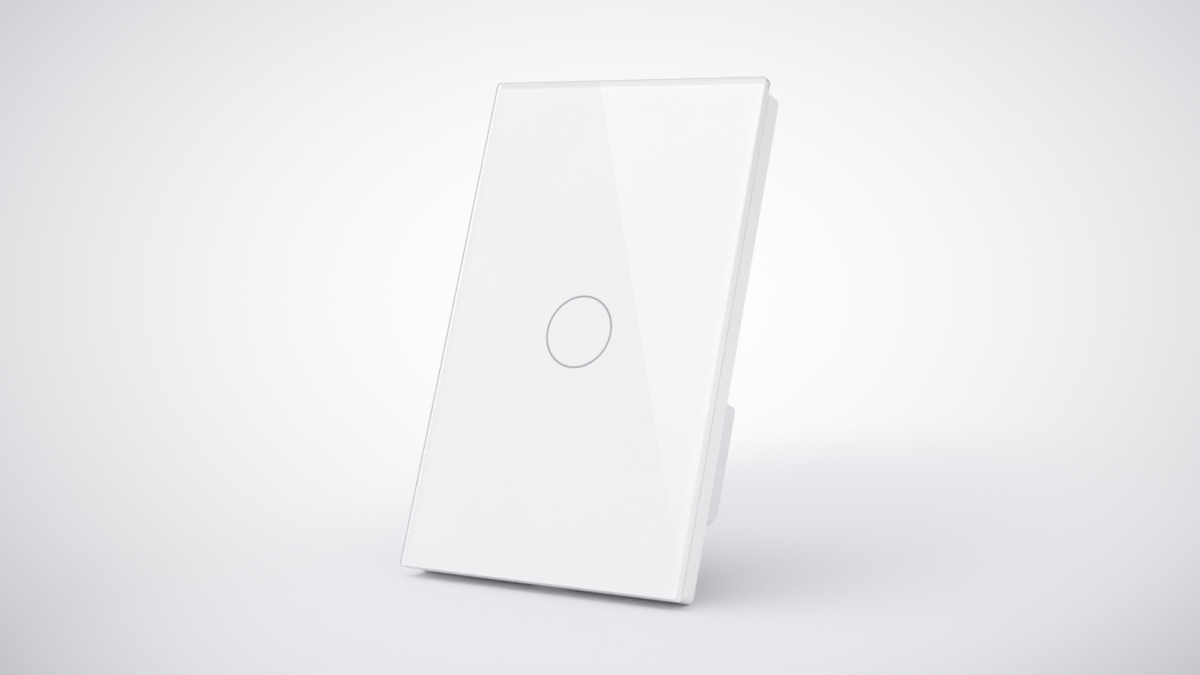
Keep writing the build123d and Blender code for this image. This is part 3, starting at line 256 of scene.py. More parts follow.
@dataclass(frozen=True)
class SleevedCan(Finish):
    """Aluminium can in a shrunk sleeve: dark glossy sleeve with one pale stripe, and bare scored metal on one end.

    The stripe marks the negative side on every such can, and the bare end catches the light beside the dark sleeve.
    """

    name: str
    axis_y: float
    axis_z: float
    bare_from: float
    radius: float
    lap: float = 0.7
    stripe_angle: float = 1.2
    stripe_half: float = 0.35
    groove_half: float = 0.12
    sleeve: str = "#171B28"
    stripe: str = "#B9BEC6"
    metal: str = "#C9CBCD"

    def shade(self, add: Adder, place: Socket) -> Node:
        """Part the can's end from its sleeve by position, and paint the stripe by the angle round its axis."""
        local = add("VectorMath", {0: place, 1: (0.0, self.axis_y * MM, self.axis_z * MM)}, operation="SUBTRACT")
        x, y, z = add("SeparateXYZ", {0: local}).outputs
        angle = add("Math", {0: z, 1: y}, operation="ARCTAN2")
        band = add("Math", {0: angle, 1: self.stripe_angle, 2: self.stripe_half}, operation="COMPARE")
        reach = add("VectorMath", {0: add("CombineXYZ", {1: y, 2: z})}, operation="LENGTH")
        inside = add("Math", {0: reach, 1: (self.radius - self.lap) * MM}, operation="LESS_THAN")
        beyond = add("Math", {0: x, 1: self.bare_from * MM}, operation="GREATER_THAN")
        bare = add("Math", {0: inside, 1: beyond}, operation="MULTIPLY")
        beside, above = (add("Math", {0: way}, operation="ABSOLUTE") for way in (y, z))
        score = add("Math", {0: beside, 1: above}, operation="MINIMUM")
        cut = add("Math", {0: score, 1: self.groove_half * MM}, operation="LESS_THAN")
        groove = add("Math", {0: cut, 1: bare}, operation="MULTIPLY")
        film = add("TexNoise", {"Vector": place, "Scale": per_metre(1.6), "Detail": 3.0})
        dyed = add("Mix", {0: band, 6: self.sleeve, 7: self.stripe}, data_type="RGBA")
        colour = add("Mix", {0: bare, 6: dyed, 7: self.metal}, data_type="RGBA")
        rough = add("MapRange", {0: film, 1: 0.3, 2: 0.7, 3: 0.18, 4: 0.34})
        height = add("Math", {0: groove, 1: -1.0, 2: film}, operation="MULTIPLY_ADD")
        relief = add("Bump", {"Height": height, "Distance": 0.05 * MM, "Strength": 0.5})
        return add("BsdfPrincipled", {"Base Color": colour, "Metallic": bare, "Roughness": rough, "Normal": relief})


@dataclass(frozen=True)
class CappedTube(Finish):
    """Ceramic fuse tube with nickel caps: chalky unglazed middle, and bright caps with fingerprints at both ends."""

    name: str
    middle_x: float
    cap_from: float
    tube: str = "#E6E0D2"
    stain: str = "#D9D1BF"
    cap: str = "#C4C5C3"

    def shade(self, add: Adder, place: Socket) -> Node:
        """Turn to metal beyond the caps' inner edges, with pores in the tube between them."""
        along = add("SeparateXYZ", {0: place})
        offset = add("Math", {0: along, 1: self.middle_x * MM}, operation="SUBTRACT")
        away = add("Math", {0: offset}, operation="ABSOLUTE")
        capped = add("Math", {0: away, 1: self.cap_from * MM}, operation="GREATER_THAN")
        pores = add("TexNoise", {"Vector": place, "Scale": per_metre(0.4), "Detail": 4.0})
        body = add("Mix", {0: pores, 6: self.tube, 7: self.stain}, data_type="RGBA")
        colour = add("Mix", {0: capped, 6: body, 7: self.cap}, data_type="RGBA")
        dull = add("Math", {0: capped, 1: -0.35, 2: 0.55}, operation="MULTIPLY_ADD")
        rough = add("Math", {0: pores, 1: 0.15, 2: dull}, operation="MULTIPLY_ADD")
        relief = add("Bump", {"Height": pores, "Distance": 0.01 * MM, "Strength": 0.4})
        return add("BsdfPrincipled", {"Base Color": colour, "Metallic": capped, "Roughness": rough, "Normal": relief})


@dataclass(frozen=True)
class CircuitBoard(Finish):
    """Solder mask over etched copper on woven glass laminate: bundles of tracks that show through, and small vias.

    The tracks stand 0.03 mm proud under the mask, so a low light picks out their edges, and the weave of the
    laminate ripples the gloss between them.
    """

    name: str
    mask: str
    track: str
    via: str
    track_gap: float = 1.27
    track_width: float = 0.25
    bundle: float = 6.35
    via_gap: float = 2.6
    weave: float = 0.5

    def shade(self, add: Adder, place: Socket) -> Node:
        """Run the tracks of each square up or across, leave some squares bare and dot the board with vias."""
        x, _, z = add("SeparateXYZ", {0: place}).outputs
        square = add("VectorMath", {0: place, 1: (self.bundle * MM, 1.0, self.bundle * MM)}, operation="SNAP")
        draw = add("TexWhiteNoise", {"Vector": square})
        upright = add("Math", {0: draw, 1: 0.5}, operation="GREATER_THAN")
        side = add("Mix", {0: upright, 2: z, 3: x})
        ripple = add("Math", {0: side, 1: self.track_gap * MM / 2}, operation="PINGPONG")
        line = add("MapRange", {
            0: ripple, 1: 0.4 * self.track_width * MM, 2: 0.6 * self.track_width * MM, 3: 1.0, 4: 0.0})
        etched = add("Math", {0: draw, 1: 0.5, 2: 0.13}, operation="COMPARE")
        kept = add("Math", {0: 1.0, 1: etched}, operation="SUBTRACT")
        tracks = add("Math", {0: line, 1: kept}, operation="MULTIPLY")
        dots = add("TexVoronoi", {"Vector": place, "Scale": per_metre(self.via_gap), "Randomness": 0.55})
        near = add("MapRange", {0: dots, 1: 0.10, 2: 0.13, 3: 1.0, 4: 0.0})
        flat = add("Mapping", {"Vector": place, "Rotation": (math.radians(90), 0.0, 0.0)})
        weave = add("TexWave", {
            "Vector": flat, "Scale": per_metre(self.weave) * math.pi / 10, "Distortion": 1.5, "Detail": 1.0})
        under = add("Mix", {0: tracks, 6: self.mask, 7: self.track}, data_type="RGBA")
        colour = add("Mix", {0: near, 6: under, 7: self.via}, data_type="RGBA")
        height = add("Math", {0: weave.outputs[1], 1: 0.1, 2: tracks}, operation="MULTIPLY_ADD")
        relief = add("Bump", {"Height": height, "Distance": 0.03 * MM, "Strength": 0.7})
        rough = add("MapRange", {0: height, 1: 0.0, 2: 1.2, 3: 0.28, 4: 0.42})
        return add("BsdfPrincipled", {
            "Base Color": colour, "Roughness": rough, "Normal": relief, "IOR": 1.5, "Coat Weight": 0.35,
            "Coat Roughness": 0.2})


@dataclass(frozen=True)
class FloatGlass(Finish):
    """Low-iron float glass: clear to the print behind its polished face, pale grey and satin on its ground edges.

    The arris, the narrow bevel round the face, is bright on the right and darker by painted shade where it turns away
    from the light. Seen through the face, the front half of the edge is frosted. Its rear half lets the backdrop show,
    and at the sides a painted glow makes it a little brighter than the backdrop. Together they draw the thin double
    line round the panel. The upper corners and the rear edge below them are darker by painted shade, standing in for
    the light that a rounded glass corner turns away. Painted shade also makes the ground edges darker at the top and
    lighter towards the floor.
    """

    name: str = "float_glass_with_ground_edges"
    tint: str = "#FDFDFD"
    wipe: float = 18.0
    # Ground edge colours; painted shade makes them darker at the top and lighter towards the floor
    edge: str = "#EBEBEB"
    edge_low_painted_light: str = "#FBFBFB"
    # Arris colours: bright where it faces right, and painted shade where it turns away from the light
    arris_painted_light: str = "#FCFCFD"
    arris_painted_shade: str = "#D3D4D6"
    inside: str = "#DFE0E1"
    # Painted shade on the upper corners and the rear edge below them
    corner: str = "#77797C"
    grit: float = 0.12
    face_from: float = 0.9
    arris_from: float = 0.3
    frost_front: float = -9.25
    frost_back: float = -8.95
    frost_through: float = 0.6
    corner_front: float = -8.6
    corner_back: float = -8.1
    corner_low: float = 56.2
    corner_high: float = 57.8
    half_height: float = 58.0
    # Share of the backdrop that the rear half passes; at the sides a painted glow adds to it, more towards the bottom
    window: float = 0.93
    painted_glow_top: float = 0.14
    painted_glow_low: float = 0.28
    window_tint: Point = (1.0, 1.0, 0.975)

    def shade(self, add: Adder, place: Socket) -> Node:
        """Make the face of clear glass and the edges of satin glass, and let lamp light through both to the print."""
        wipes = add("TexNoise", {
            "Vector": place, "Scale": per_metre(self.wipe), "Detail": 5.0, "Roughness": 0.7, "Distortion": 1.2})
        rough = add("MapRange", {0: wipes, 1: 0.45, 2: 0.75, 3: 0.0, 4: 0.012})
        glass = add("BsdfPrincipled", {
            "Base Color": self.tint, "Roughness": rough, "IOR": 1.5, "Transmission Weight": 1.0})
        path = add("LightPath").outputs
        passes = add("Math", {0: path["Is Shadow Ray"], 1: path["Is Diffuse Ray"]}, operation="MAXIMUM")
        normal = add("SeparateXYZ", {0: add("TexCoord").outputs["Normal"]})
        square = add("Math", {0: normal.outputs[1]}, operation="ABSOLUTE")
        sideways = add("Math", {0: normal}, operation="ABSOLUTE")
        ground = add("Math", {0: square, 1: self.face_from}, operation="LESS_THAN")
        parts = add("SeparateXYZ", {0: place})
        edges = add("MixShader", {
            0: add("NewGeometry").outputs["Backfacing"],
            1: self.shade_outside(add, place, parts, normal, square, sideways),
            2: self.shade_inside(add, parts, sideways)})
        solid = add("MixShader", {0: ground, 1: glass, 2: edges})
        return add("MixShader", {0: passes, 1: solid, 2: add("BsdfTransparent")})

    def shade_outside(self, add: Adder, place: Socket, parts: Node, normal: Node, square: Node,
                      sideways: Node) -> Node:
        """Shade the ground edges as they look from outside, with painted shade on the arris, corners and top.

        Args:
            add: Adds a node to the glass material.
            place: Object coordinates, in metres.
            parts: Node that splits the place.
            normal: Node that splits the object's own normal.
            square: Node with the size of the normal's Y.
            sideways: Node with the size of the normal's X.

        Returns:
            The shader.
        """
        grit = add("TexNoise", {"Vector": place, "Scale": per_metre(self.grit), "Detail": 2.0})
        # Painted shade: the ground edges darker at the top and lighter towards the floor
        painted_height_shade = add("MapRange", {0: parts.outputs[2], 1: PAINTED_SHADE_TOP, 2: PAINTED_SHADE_LOW})
        flat = add("Mix", {0: painted_height_shade, 6: self.edge, 7: self.edge_low_painted_light}, data_type="RGBA")
        # Painted shade on the arris where it turns away from the light, bright where it faces right
        painted_side_shade = add("Math", {0: normal, 1: self.arris_from}, operation="LESS_THAN")
        bevel = add("Mix", {0: painted_side_shade, 6: self.arris_painted_light, 7: self.arris_painted_shade}, data_type="RGBA")
        on_arris = add("Math", {0: square, 1: self.arris_from}, operation="GREATER_THAN")
        edged = add("Mix", {0: on_arris, 6: flat, 7: bevel}, data_type="RGBA")
        # Painted shade on the upper corners and on the rear edge below them
        turning = add("Math", {0: sideways, 1: normal.outputs[2]}, operation="MULTIPLY")
        dark = add("MapRange", {0: turning, 1: 0.12, 2: 0.42})
        behind = add("MapRange", {0: parts.outputs[1], 1: self.corner_front * MM, 2: self.corner_back * MM})
        high = add("MapRange", {
            0: parts.outputs[2], 1: self.corner_low * MM, 2: self.corner_high * MM, 3: 0.0, 4: 0.8})
        rear = add("Math", {0: behind, 1: high}, operation="MULTIPLY")
        beside = add("Math", {0: rear, 1: sideways}, operation="MULTIPLY")
        painted_corner_shade = add("Math", {0: dark, 1: beside}, operation="MAXIMUM")
        shade = add("Mix", {0: painted_corner_shade, 6: edged, 7: self.corner}, data_type="RGBA")
        relief = add("Bump", {"Height": grit, "Distance": 0.004 * MM, "Strength": 0.5})
        return add("BsdfPrincipled", {"Base Color": shade, "Roughness": 0.32, "IOR": 1.5, "Normal": relief})

    def shade_inside(self, add: Adder, parts: Node, sideways: Node) -> Node:
        """Shade the ground edges as they look through the face, with a painted glow on the sides' rear half.

        Args:
            add: Adds a node to the glass material.
            parts: Node that splits the place.
            sideways: Node with the size of the normal's X.

        Returns:
            The shader.
        """
        scattered, let_in = (add(kind, {"Color": self.inside}) for kind in ("BsdfDiffuse", "BsdfTranslucent"))
        frosted = add("MixShader", {0: self.frost_through, 1: scattered, 2: let_in})
        polished = add("MapRange", {0: parts.outputs[1], 1: self.frost_front * MM, 2: self.frost_back * MM})
        # Painted glow: the sides' rear half passes more light than is behind it, more towards the bottom
        rise = add("MapRange", {0: parts.outputs[2], 1: self.half_height * MM, 2: -self.half_height * MM,
                                3: self.painted_glow_top, 4: self.painted_glow_low})
        painted_edge_glow = add("Math", {0: sideways, 1: rise, 2: self.window}, operation="MULTIPLY_ADD")
        painted_edge_glow_tinted = add("VectorMath", {0: self.window_tint, "Scale": painted_edge_glow}, operation="SCALE")
        return add("MixShader", {0: polished, 1: frosted, 2: add("BsdfTransparent", {"Color": painted_edge_glow_tinted})})


@dataclass(frozen=True)
class ScreenInk(Finish):
    """Screen-printed enamel ink: matt, even, with the faintest mesh of the screen it was pressed through."""

    name: str
    base: str
    thin: str
    mesh: float = 0.25
    cloud: float = 30.0
    rough: float = 0.6
    rough_spread: float = 0.05

    def shade(self, add: Adder, place: Socket) -> Node:
        """Vary the ink's weight a little and leave the screen's mesh in its surface."""
        cloud = add("TexNoise", {"Vector": place, "Scale": per_metre(self.cloud), "Detail": 2.0})
        colour = add("Mix", {0: cloud, 6: self.base, 7: self.thin}, data_type="RGBA")
        mesh = add("TexChecker", {"Vector": place, "Scale": per_metre(self.mesh)})
        relief = add("Bump", {"Height": mesh.outputs[1], "Distance": 0.002 * MM, "Strength": 0.3})
        rough = add("MapRange", {0: cloud, 3: self.rough - self.rough_spread, 4: self.rough + self.rough_spread})
        return add("BsdfPrincipled", {
            "Base Color": self.tone(add, place, colour), "Roughness": rough, "Normal": relief})

    def tone(self, add: Adder, place: Socket, colour: Node) -> Node:
        """Leave the ink's colour as it is; a print that changes towards its border does more here."""
        return colour


@dataclass(frozen=True)
class BorderedInk(ScreenInk):
    """White print behind glass, with painted light at its right and upper border, painted shade at its top and left.
    """

    # Painted light near the right and upper border, painted shade under the top edge and along the left
    painted_light: str = "#FDFDFD"
    painted_shade: str = "#DCDDE0"
    half_width: float = 36.0
    half_height: float = 59.0
    lit_start: float = 0.4
    lit_reach: float = 4.5
    lit_share: float = 0.35
    shade_reach: float = 1.5
    shade_share: float = 0.6
    left_reach: float = 1.8
    left_share: float = 0.22

    def tone(self, add: Adder, place: Socket, colour: Node) -> Node:
        """Paint light near the ink's right and upper border, and paint shade under its top edge and along the left.

        Args:
            add: Adds a node to the ink's material.
            place: Object coordinates, in metres.
            colour: The plain ink's colour.

        Returns:
            The changed colour.
        """
        x, _, z = add("SeparateXYZ", {0: place}).outputs
        beside = add("Math", {0: self.half_width * MM, 1: x}, operation="SUBTRACT")
        above = add("Math", {0: self.half_height * MM, 1: z}, operation="SUBTRACT")
        gap = add("Math", {0: beside, 1: above}, operation="MINIMUM")
        # Painted light near the border, painted shade under the top edge and at the left
        glow, under, painted_side_shade = (add("MapRange", {
            0: reach, 1: start * MM, 2: end * MM, 3: first, 4: last}, interpolation_type="SMOOTHSTEP")
            for reach, start, end, first, last in (
                (gap, self.lit_start, self.lit_reach, self.lit_share, 0.0),
                (z, self.half_height - self.shade_reach, self.half_height - 0.5 * self.shade_reach, 0.0,
                 self.shade_share),
                (x, self.left_reach - self.half_width, -self.half_width, 0.0, self.left_share)))
        bright = add("Mix", {0: glow, 6: colour, 7: self.painted_light}, data_type="RGBA")
        dull = add("Math", {0: under, 1: painted_side_shade}, operation="MAXIMUM")
        return add("Mix", {0: dull, 6: bright, 7: self.painted_shade}, data_type="RGBA")


@dataclass(frozen=True)
class FloorPaper(Finish):
    """Matt studio paper with faint fibres, which ends softly and shows from above only.

    It still shades, and throws back light, where the camera no longer sees it.
    """

    name: str = "floor_paper"
    base: str = "#E5E4E8"
    fleck: str = "#E2E1E6"
    middle: Point = (0.014, 0.055, 0.0)
    depth: float = 1.8
    near: float = 40.0
    far: float = 130.0
    fibre: float = 1.5

    def shade(self, add: Adder, place: Socket) -> Node:
        """Fade the paper with the distance from its middle, for rays from the camera and through glass."""
        local = add("Mapping", {"Vector": place, "Location": self.middle, "Scale": (1.0, self.depth, 1.0)},
                    vector_type="TEXTURE")
        reach = add("VectorMath", {0: local}, operation="LENGTH")
        fade = add("MapRange", {0: reach, 1: self.near * MM, 2: self.far * MM, 3: 1.0, 4: 0.0},
                   interpolation_type="SMOOTHSTEP")
        fibre = add("TexNoise", {"Vector": place, "Scale": per_metre(self.fibre), "Detail": 3.0})
        tone = add("Mix", {0: fibre, 6: self.base, 7: self.fleck}, data_type="RGBA")
        paper = add("BsdfDiffuse", {"Color": tone})
        path = add("LightPath").outputs
        seen = add("Math", {0: path["Is Camera Ray"], 1: path["Is Transmission Ray"]}, operation="MAXIMUM")
        unseen, above = (add("Math", {0: 1.0, 1: value}, operation="SUBTRACT")
                         for value in (seen, add("NewGeometry").outputs["Backfacing"]))
        solid = add("Math", {0: fade, 1: unseen}, operation="MAXIMUM")
        kept = add("Math", {0: solid, 1: above}, operation="MULTIPLY")
        return add("MixShader", {0: kept, 1: add("BsdfTransparent"), 2: paper})


@dataclass(frozen=True)
class SoftBoxCloth(Finish):
    """Lit cloth of a soft box, dimmer towards its foot, so that the reflection on the glass fades downwards."""

    name: str = "soft_box_cloth"
    low: float = 30.0
    high: float = 200.0
    low_strength: float = 0.6
    strength: float = 1.4

    def shade(self, add: Adder, place: Socket) -> Node:
        """Let the cloth's glow grow with its height."""
        height = add("SeparateXYZ", {0: place}).outputs[2]
        glow = add("MapRange", {
            0: height, 1: self.low * MM, 2: self.high * MM, 3: self.low_strength, 4: self.strength},
            interpolation_type="SMOOTHSTEP")
        return add("Emission", {"Strength": glow})


class Fronts(Enum):
    """The finishes of the glass panel's front."""

    # Clear glass with ground edges: a still mirror over the print, and a thin double line round it
    # Its double line is partly drawn with painted light and shade
    GLASS = FloatGlass()
    # Matt white enamel behind the glass: the even field that makes the panel look white
    # Painted light and shade near its border are part of this finish
    INK = BorderedInk("screen_printed_white_ink", "#F3F3F4", "#F1F1F2")
    # Fired grey enamel: the only mark on the face
    RING = ScreenInk("fired_grey_enamel", "#B2B2B5", "#ACACB0", 0.12, 6.0, 0.45)


class Whites(Enum):
    """The white and grey plastics that the eye meets first, from front to back."""

    # ABS in a spark-eroded mould: a soft satin white, a shade warmer than the glass in front of it
    # Painted shade makes its upper part 8 percent darker
    FRAME = MouldedPlastic("satin_white_abs", "#F9F9F9", "#F6F6F6", 0.34, 0.46, bleed=0.05, painted_height_shade=0.08)
    # The same resin with a coarser grain, because it is hidden once the panel is on
    PLATE = MouldedPlastic("base_plate_abs", "#ECECEE", "#E6E6EA", 0.40, 0.55, grain=0.45)
    # Flame-retardant polycarbonate: slightly greyer and duller than the frame
    HOUSING = MouldedPlastic("flame_retardant_polycarbonate", "#F1F1F2", "#EBEBED", 0.42, 0.58)


class Mouldings(Enum):
    """The coloured mouldings inside the switch."""

    # Transfer-moulded epoxy: flat black with a dusty, even surface
    CHIP = MouldedPlastic("moulded_chip_epoxy", "#1B1B1D", "#242427", 0.5, 0.7, 3.0, 0.12)
    # Glass-filled nylon: black, with pale fibre ends that lift its roughness
    NYLON = MouldedPlastic("glass_filled_black_nylon", "#17181A", "#222427", 0.42, 0.62, 6.0, 0.2)
    # Unfilled amber nylon: glossy, so that the reset button is easy to find
    BUTTON = MouldedPlastic("amber_nylon", "#D9A441", "#C98F2E", 0.28, 0.4, 2.0, 0.15)
    # PBT: the dense green of terminal blocks, smooth where the mould was polished
    TERMINAL = MouldedPlastic("green_terminal_pbt", "#2F5A3C", "#294F35", 0.36, 0.52, 8.0, 0.25)
    # PBT in a polished mould: the clear highlight of a relay's case
    RELAY = MouldedPlastic("blue_relay_pbt", "#1F3F86", "#1A3778", 0.26, 0.4, 9.0, 0.25)
    # Natural nylon: light passes a little way in, which softens its edges
    BOBBIN = MouldedPlastic("natural_bobbin_nylon", "#E2DDCF", "#D6CFBD", 0.38, 0.5, 4.0, 0.2, bleed=0.1)
    # Milky acrylic: spreads the lamps' light, so it glows at its rims
    GUIDE = MouldedPlastic("milky_acrylic", "#E3E7EB", "#D9DEE4", 0.22, 0.3, 6.0, 0.3, bleed=0.35)
    # White reflector ceramic of a surface-mounted lamp: chalky, so the phosphor in it looks wet
    LAMP = MouldedPlastic("lamp_reflector_ceramic", "#F3F1EA", "#E8E5DA", 0.4, 0.55, 0.8, 0.1)
    # Clear resin filled with phosphor: yellow and wet-looking
    PHOSPHOR = MouldedPlastic("phosphor_resin", "#F0DC6A", "#E3C840", 0.12, 0.2, 0.5, 0.1, 0.01, bleed=0.2)
    # PBT box of a film capacitor: yellow and glossy, with the sink marks of thick walls
    BOX = MouldedPlastic("boxed_capacitor_pbt", "#D9BD3A", "#CDAF2E", 0.28, 0.4, 8.0, 0.25, 0.015)
    # Dipped epoxy: runs and pin-head bumps in a thick glossy skin
    DIP = MouldedPlastic("dipped_blue_epoxy", "#2A559E", "#23498C", 0.22, 0.34, 1.6, 0.5, 0.03)
    # Polyester tape: glossy, with wrinkles where it laps over itself
    TAPE_WRAP = MouldedPlastic("yellow_polyester_tape", "#E3C23C", "#D8B42F", 0.2, 0.32, 3.0, 0.6, 0.012)
    # Pressed ferrite: dark and granular, so it takes no clear highlight
    FERRITE = MouldedPlastic("pressed_ferrite", "#2A2A2C", "#353537", 0.45, 0.7, 1.2, 0.14, 0.02)
    # Closed-cell foam: pale and dull, so the recess between glass and frame reads as one soft line
    FOAM = MouldedPlastic("foam_mounting_tape", "#E6E6E8", "#DEDEE1", 0.75, 0.9, 1.0, 0.18, 0.04)
    # Glazed alumina of chip resistors: near black with a hard small highlight
    RESISTOR = MouldedPlastic("glazed_resistor_ceramic", "#22252B", "#2E323A", 0.3, 0.45, 0.6, 0.1, 0.004)


class Metals(Enum):
    """The metals, each by how it was plated or drawn."""

    # Bright zinc on cold-headed steel: cool, with cloudy patches where the plate is thin
    ZINC = PlatedMetal("bright_zinc_steel", "#C9CBC9", "#A9ADB0")
    # Gold flash over drawn spring wire: warm and nearly mirror-bright
    SPRING = PlatedMetal("gold_flashed_spring_wire", "#D9C28A", "#B99C5E", 0.18, 0.32, 1.2)
    # Drawn tinplate: soft wide highlight with long drawing lines
    TINPLATE = PlatedMetal("drawn_tinplate", "#C6C9CC", "#AFB3B7", 0.24, 0.4, 3.0)
    # Reflowed solder: bright beads with a frosted skin where it set
    SOLDER = PlatedMetal("reflowed_solder", "#CDCFD1", "#A8ABAE", 0.18, 0.36, 0.5, 0.12, 0.006)
    # Gold flash on pins and copper: the only warm glint on the boards
    GOLD = PlatedMetal("gold_flashed_pin", "#D8B45A", "#C39A3F", 0.2, 0.34, 1.0)
    # Tinned brass: grey with the yellow of the brass where the tin is rubbed through
    BRASS = PlatedMetal("tinned_brass", "#CFC9B4", "#B5A77F", 0.26, 0.44, 1.6)
    # Annealed iron: dark and dull, the relay's magnet parts
    IRON = PlatedMetal("annealed_iron", "#8F9093", "#77787C", 0.36, 0.55, 2.2)
    # Rolled bronze: reddish strip with lines along the rolling
    BRONZE = PlatedMetal("rolled_bronze", "#C39563", "#A87849", 0.24, 0.4, 1.5)


class Boards(Enum):
    """The three circuit boards by the colour of their mask."""

    # White mask: sends the lamps' light back into the guide
    TOUCH = CircuitBoard("white_solder_mask", "#E6E9E4", "#DCE0D9", "#D2BE86")
    # Blue mask over narrow tracks: a small dense module
    RADIO = CircuitBoard("blue_solder_mask", "#163463", "#20457D", "#CBB36C", 0.9, 0.2, 3.6, 1.8)
    # Green mask over wide tracks that carry the mains
    POWER = CircuitBoard("green_solder_mask", "#1D5A36", "#26693F", "#C7BFA2", 2.1, 0.9, 8.4, 4.2)


class Axial(Enum):
    """The finishes that follow the axis of the one part that wears them."""

    # Enamelled copper: warm bands that say at once that this is a coil
    WINDING = WoundWire()
    # The filter capacitor's can: the larger dark sleeve with its bare scored end
    FILTER_CAN = SleevedCan("sleeved_filter_can", 9.9, 1.5, -7.2, 4.0)
    # The output capacitor's can: the same make, smaller
    OUTPUT_CAN = SleevedCan("sleeved_output_can", 9.05, 12.5, 18.3, 3.15)
    # Ceramic fuse: a chalky tube between two bright caps
    FUSE = CappedTube("capped_ceramic_fuse", 14.5, 2.6)


def dress(look: Enum, *nodes: str) -> None:
    """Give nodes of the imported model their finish.

    Args:
        look: The finish that they take.
        nodes: Names of the nodes.
    """
    for name in nodes:
        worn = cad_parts[name].data.materials
        worn.clear()
        worn.append(look.value.material())
        log.info("dressed %s in %s", name, look.value.name)


def put(name: str, shape: Mesh, finish: Finish) -> bpy.types.Object:
    """Put a mesh in metres into the scene.

    Args:
        name: Name of the new object.
        shape: Its mesh; it is freed here.
        finish: The finish that it takes.

    Returns:
        The new object, at the origin and unturned.
    """
    mesh = bpy.data.meshes.new(name)
    shape.to_mesh(mesh)
    shape.free()
    mesh.materials.append(finish.material())
    made = bpy.data.objects.new(name, mesh)
    bpy.context.scene.collection.objects.link(made)
    return made


def block(size: Point, centre: Point, rounding: float = 0.0, steps: int = 2) -> Mesh:
    """Make a block with rounded edges.

    Args:
        size: Size along X, Y and Z.
        centre: Place of its middle.
        rounding: Radius of its edges, or 0 for sharp ones.
        steps: Segments of the rounding.

    Returns:
        The block's mesh.
    """
    shape = bmesh.new()
    bmesh.ops.create_cube(shape, size=1.0, matrix=Matrix.Translation(centre) @ Matrix.Diagonal((*size, 1)))
    if rounding:
        bmesh.ops.bevel(shape, geom=shape.edges[:], offset=rounding, segments=steps, **BEVEL)
    return shape


def rounded_plate(size: Spot, radius: float, front: float, back: float, middle: Spot = (0.0, 0.0),
                  steps: int = 6) -> Mesh:
    """Make an upright plate with rounded corners.

    Args:
        size: Size along X and Z.
        radius: Radius of the upright corners.
        front: Y of the side that faces the room.
        back: Y of the side that faces the wall.
        middle: X and Z of its middle.
        steps: Segments of each corner.

    Returns:
        The plate's mesh.
    """
    shape = block((size[0], back - front, size[1]), (middle[0], (front + back) / 2, middle[1]))
    upright = [e for e in shape.edges if abs(e.verts[0].co.y - e.verts[1].co.y) > (back - front) / 2]
    bmesh.ops.bevel(shape, geom=upright, offset=radius, segments=steps, **BEVEL)
    return shape


def turned(profile: Sequence[Spot], centre: Spot, steps: int = 24) -> Mesh:
    """Turn a profile round an axis that runs along Y.

    Args:
        profile: Radius and Y of each point, from one end to the other; it closes on itself or on the axis.
        centre: X and Z of the axis.
        steps: Facets of the full turn.

    Returns:
        The turned mesh.
    """
    shape = bmesh.new()
    points = [shape.verts.new((centre[0] + radius, depth, centre[1])) for radius, depth in profile]
    edges = [shape.edges.new(pair) for pair in zip(points, points[1:])]
    bmesh.ops.spin(shape, geom=points + edges, cent=(centre[0], 0, centre[1]), axis=(0, 1, 0), dvec=(0, 0, 0),
                   angle=math.tau, steps=steps, use_merge=True, use_duplicate=False)
    bmesh.ops.remove_doubles(shape, verts=shape.verts, dist=1e-4)
    return shape


def turned_ring(radii: Spot, front: float, back: float, centre: Spot, steps: int = 32) -> Mesh:
    """Make a flat ring round an axis along Y.

    Args:
        radii: Outer and inner radius.
        front: Y of the side that faces the room.
        back: Y of the side that faces the wall.
        centre: X and Z of the axis.
        steps: Facets of the full turn.

    Returns:
        The ring's mesh.
    """
    outer, inner = radii
    return turned([(outer, front), (outer, back), (inner, back), (inner, front), (outer, front)], centre, steps)


def only(items: Iterable[object], kind: type) -> list:
    """Keep the vertices, edges or faces out of what an operator made."""
    return [item for item in items if isinstance(item, kind)]


def bent_strip(points: Sequence[Point], across: Point, thickness: float) -> Mesh:
    """Fold a strip of sheet along a line.

    Args:
        points: The line that the strip's near edge follows.
        across: From the near edge to the far edge.
        thickness: Thickness of the sheet.

    Returns:
        The strip's mesh.
    """
    shape = bmesh.new()
    edge = shape.edges.new([shape.verts.new(points[0]), shape.verts.new(Vector(points[0]) + Vector(across))])
    for before, after in zip(points, points[1:]):
        grown = bmesh.ops.extrude_edge_only(shape, edges=[edge])["geom"]
        moved = only(grown, bmesh.types.BMVert)
        bmesh.ops.translate(shape, verts=moved, vec=Vector(after) - Vector(before))
        edge = next(item for item in only(grown, bmesh.types.BMEdge) if all(v in moved for v in item.verts))
    bmesh.ops.recalc_face_normals(shape, faces=shape.faces)
    bmesh.ops.solidify(shape, geom=shape.faces[:], thickness=thickness)
    return shape


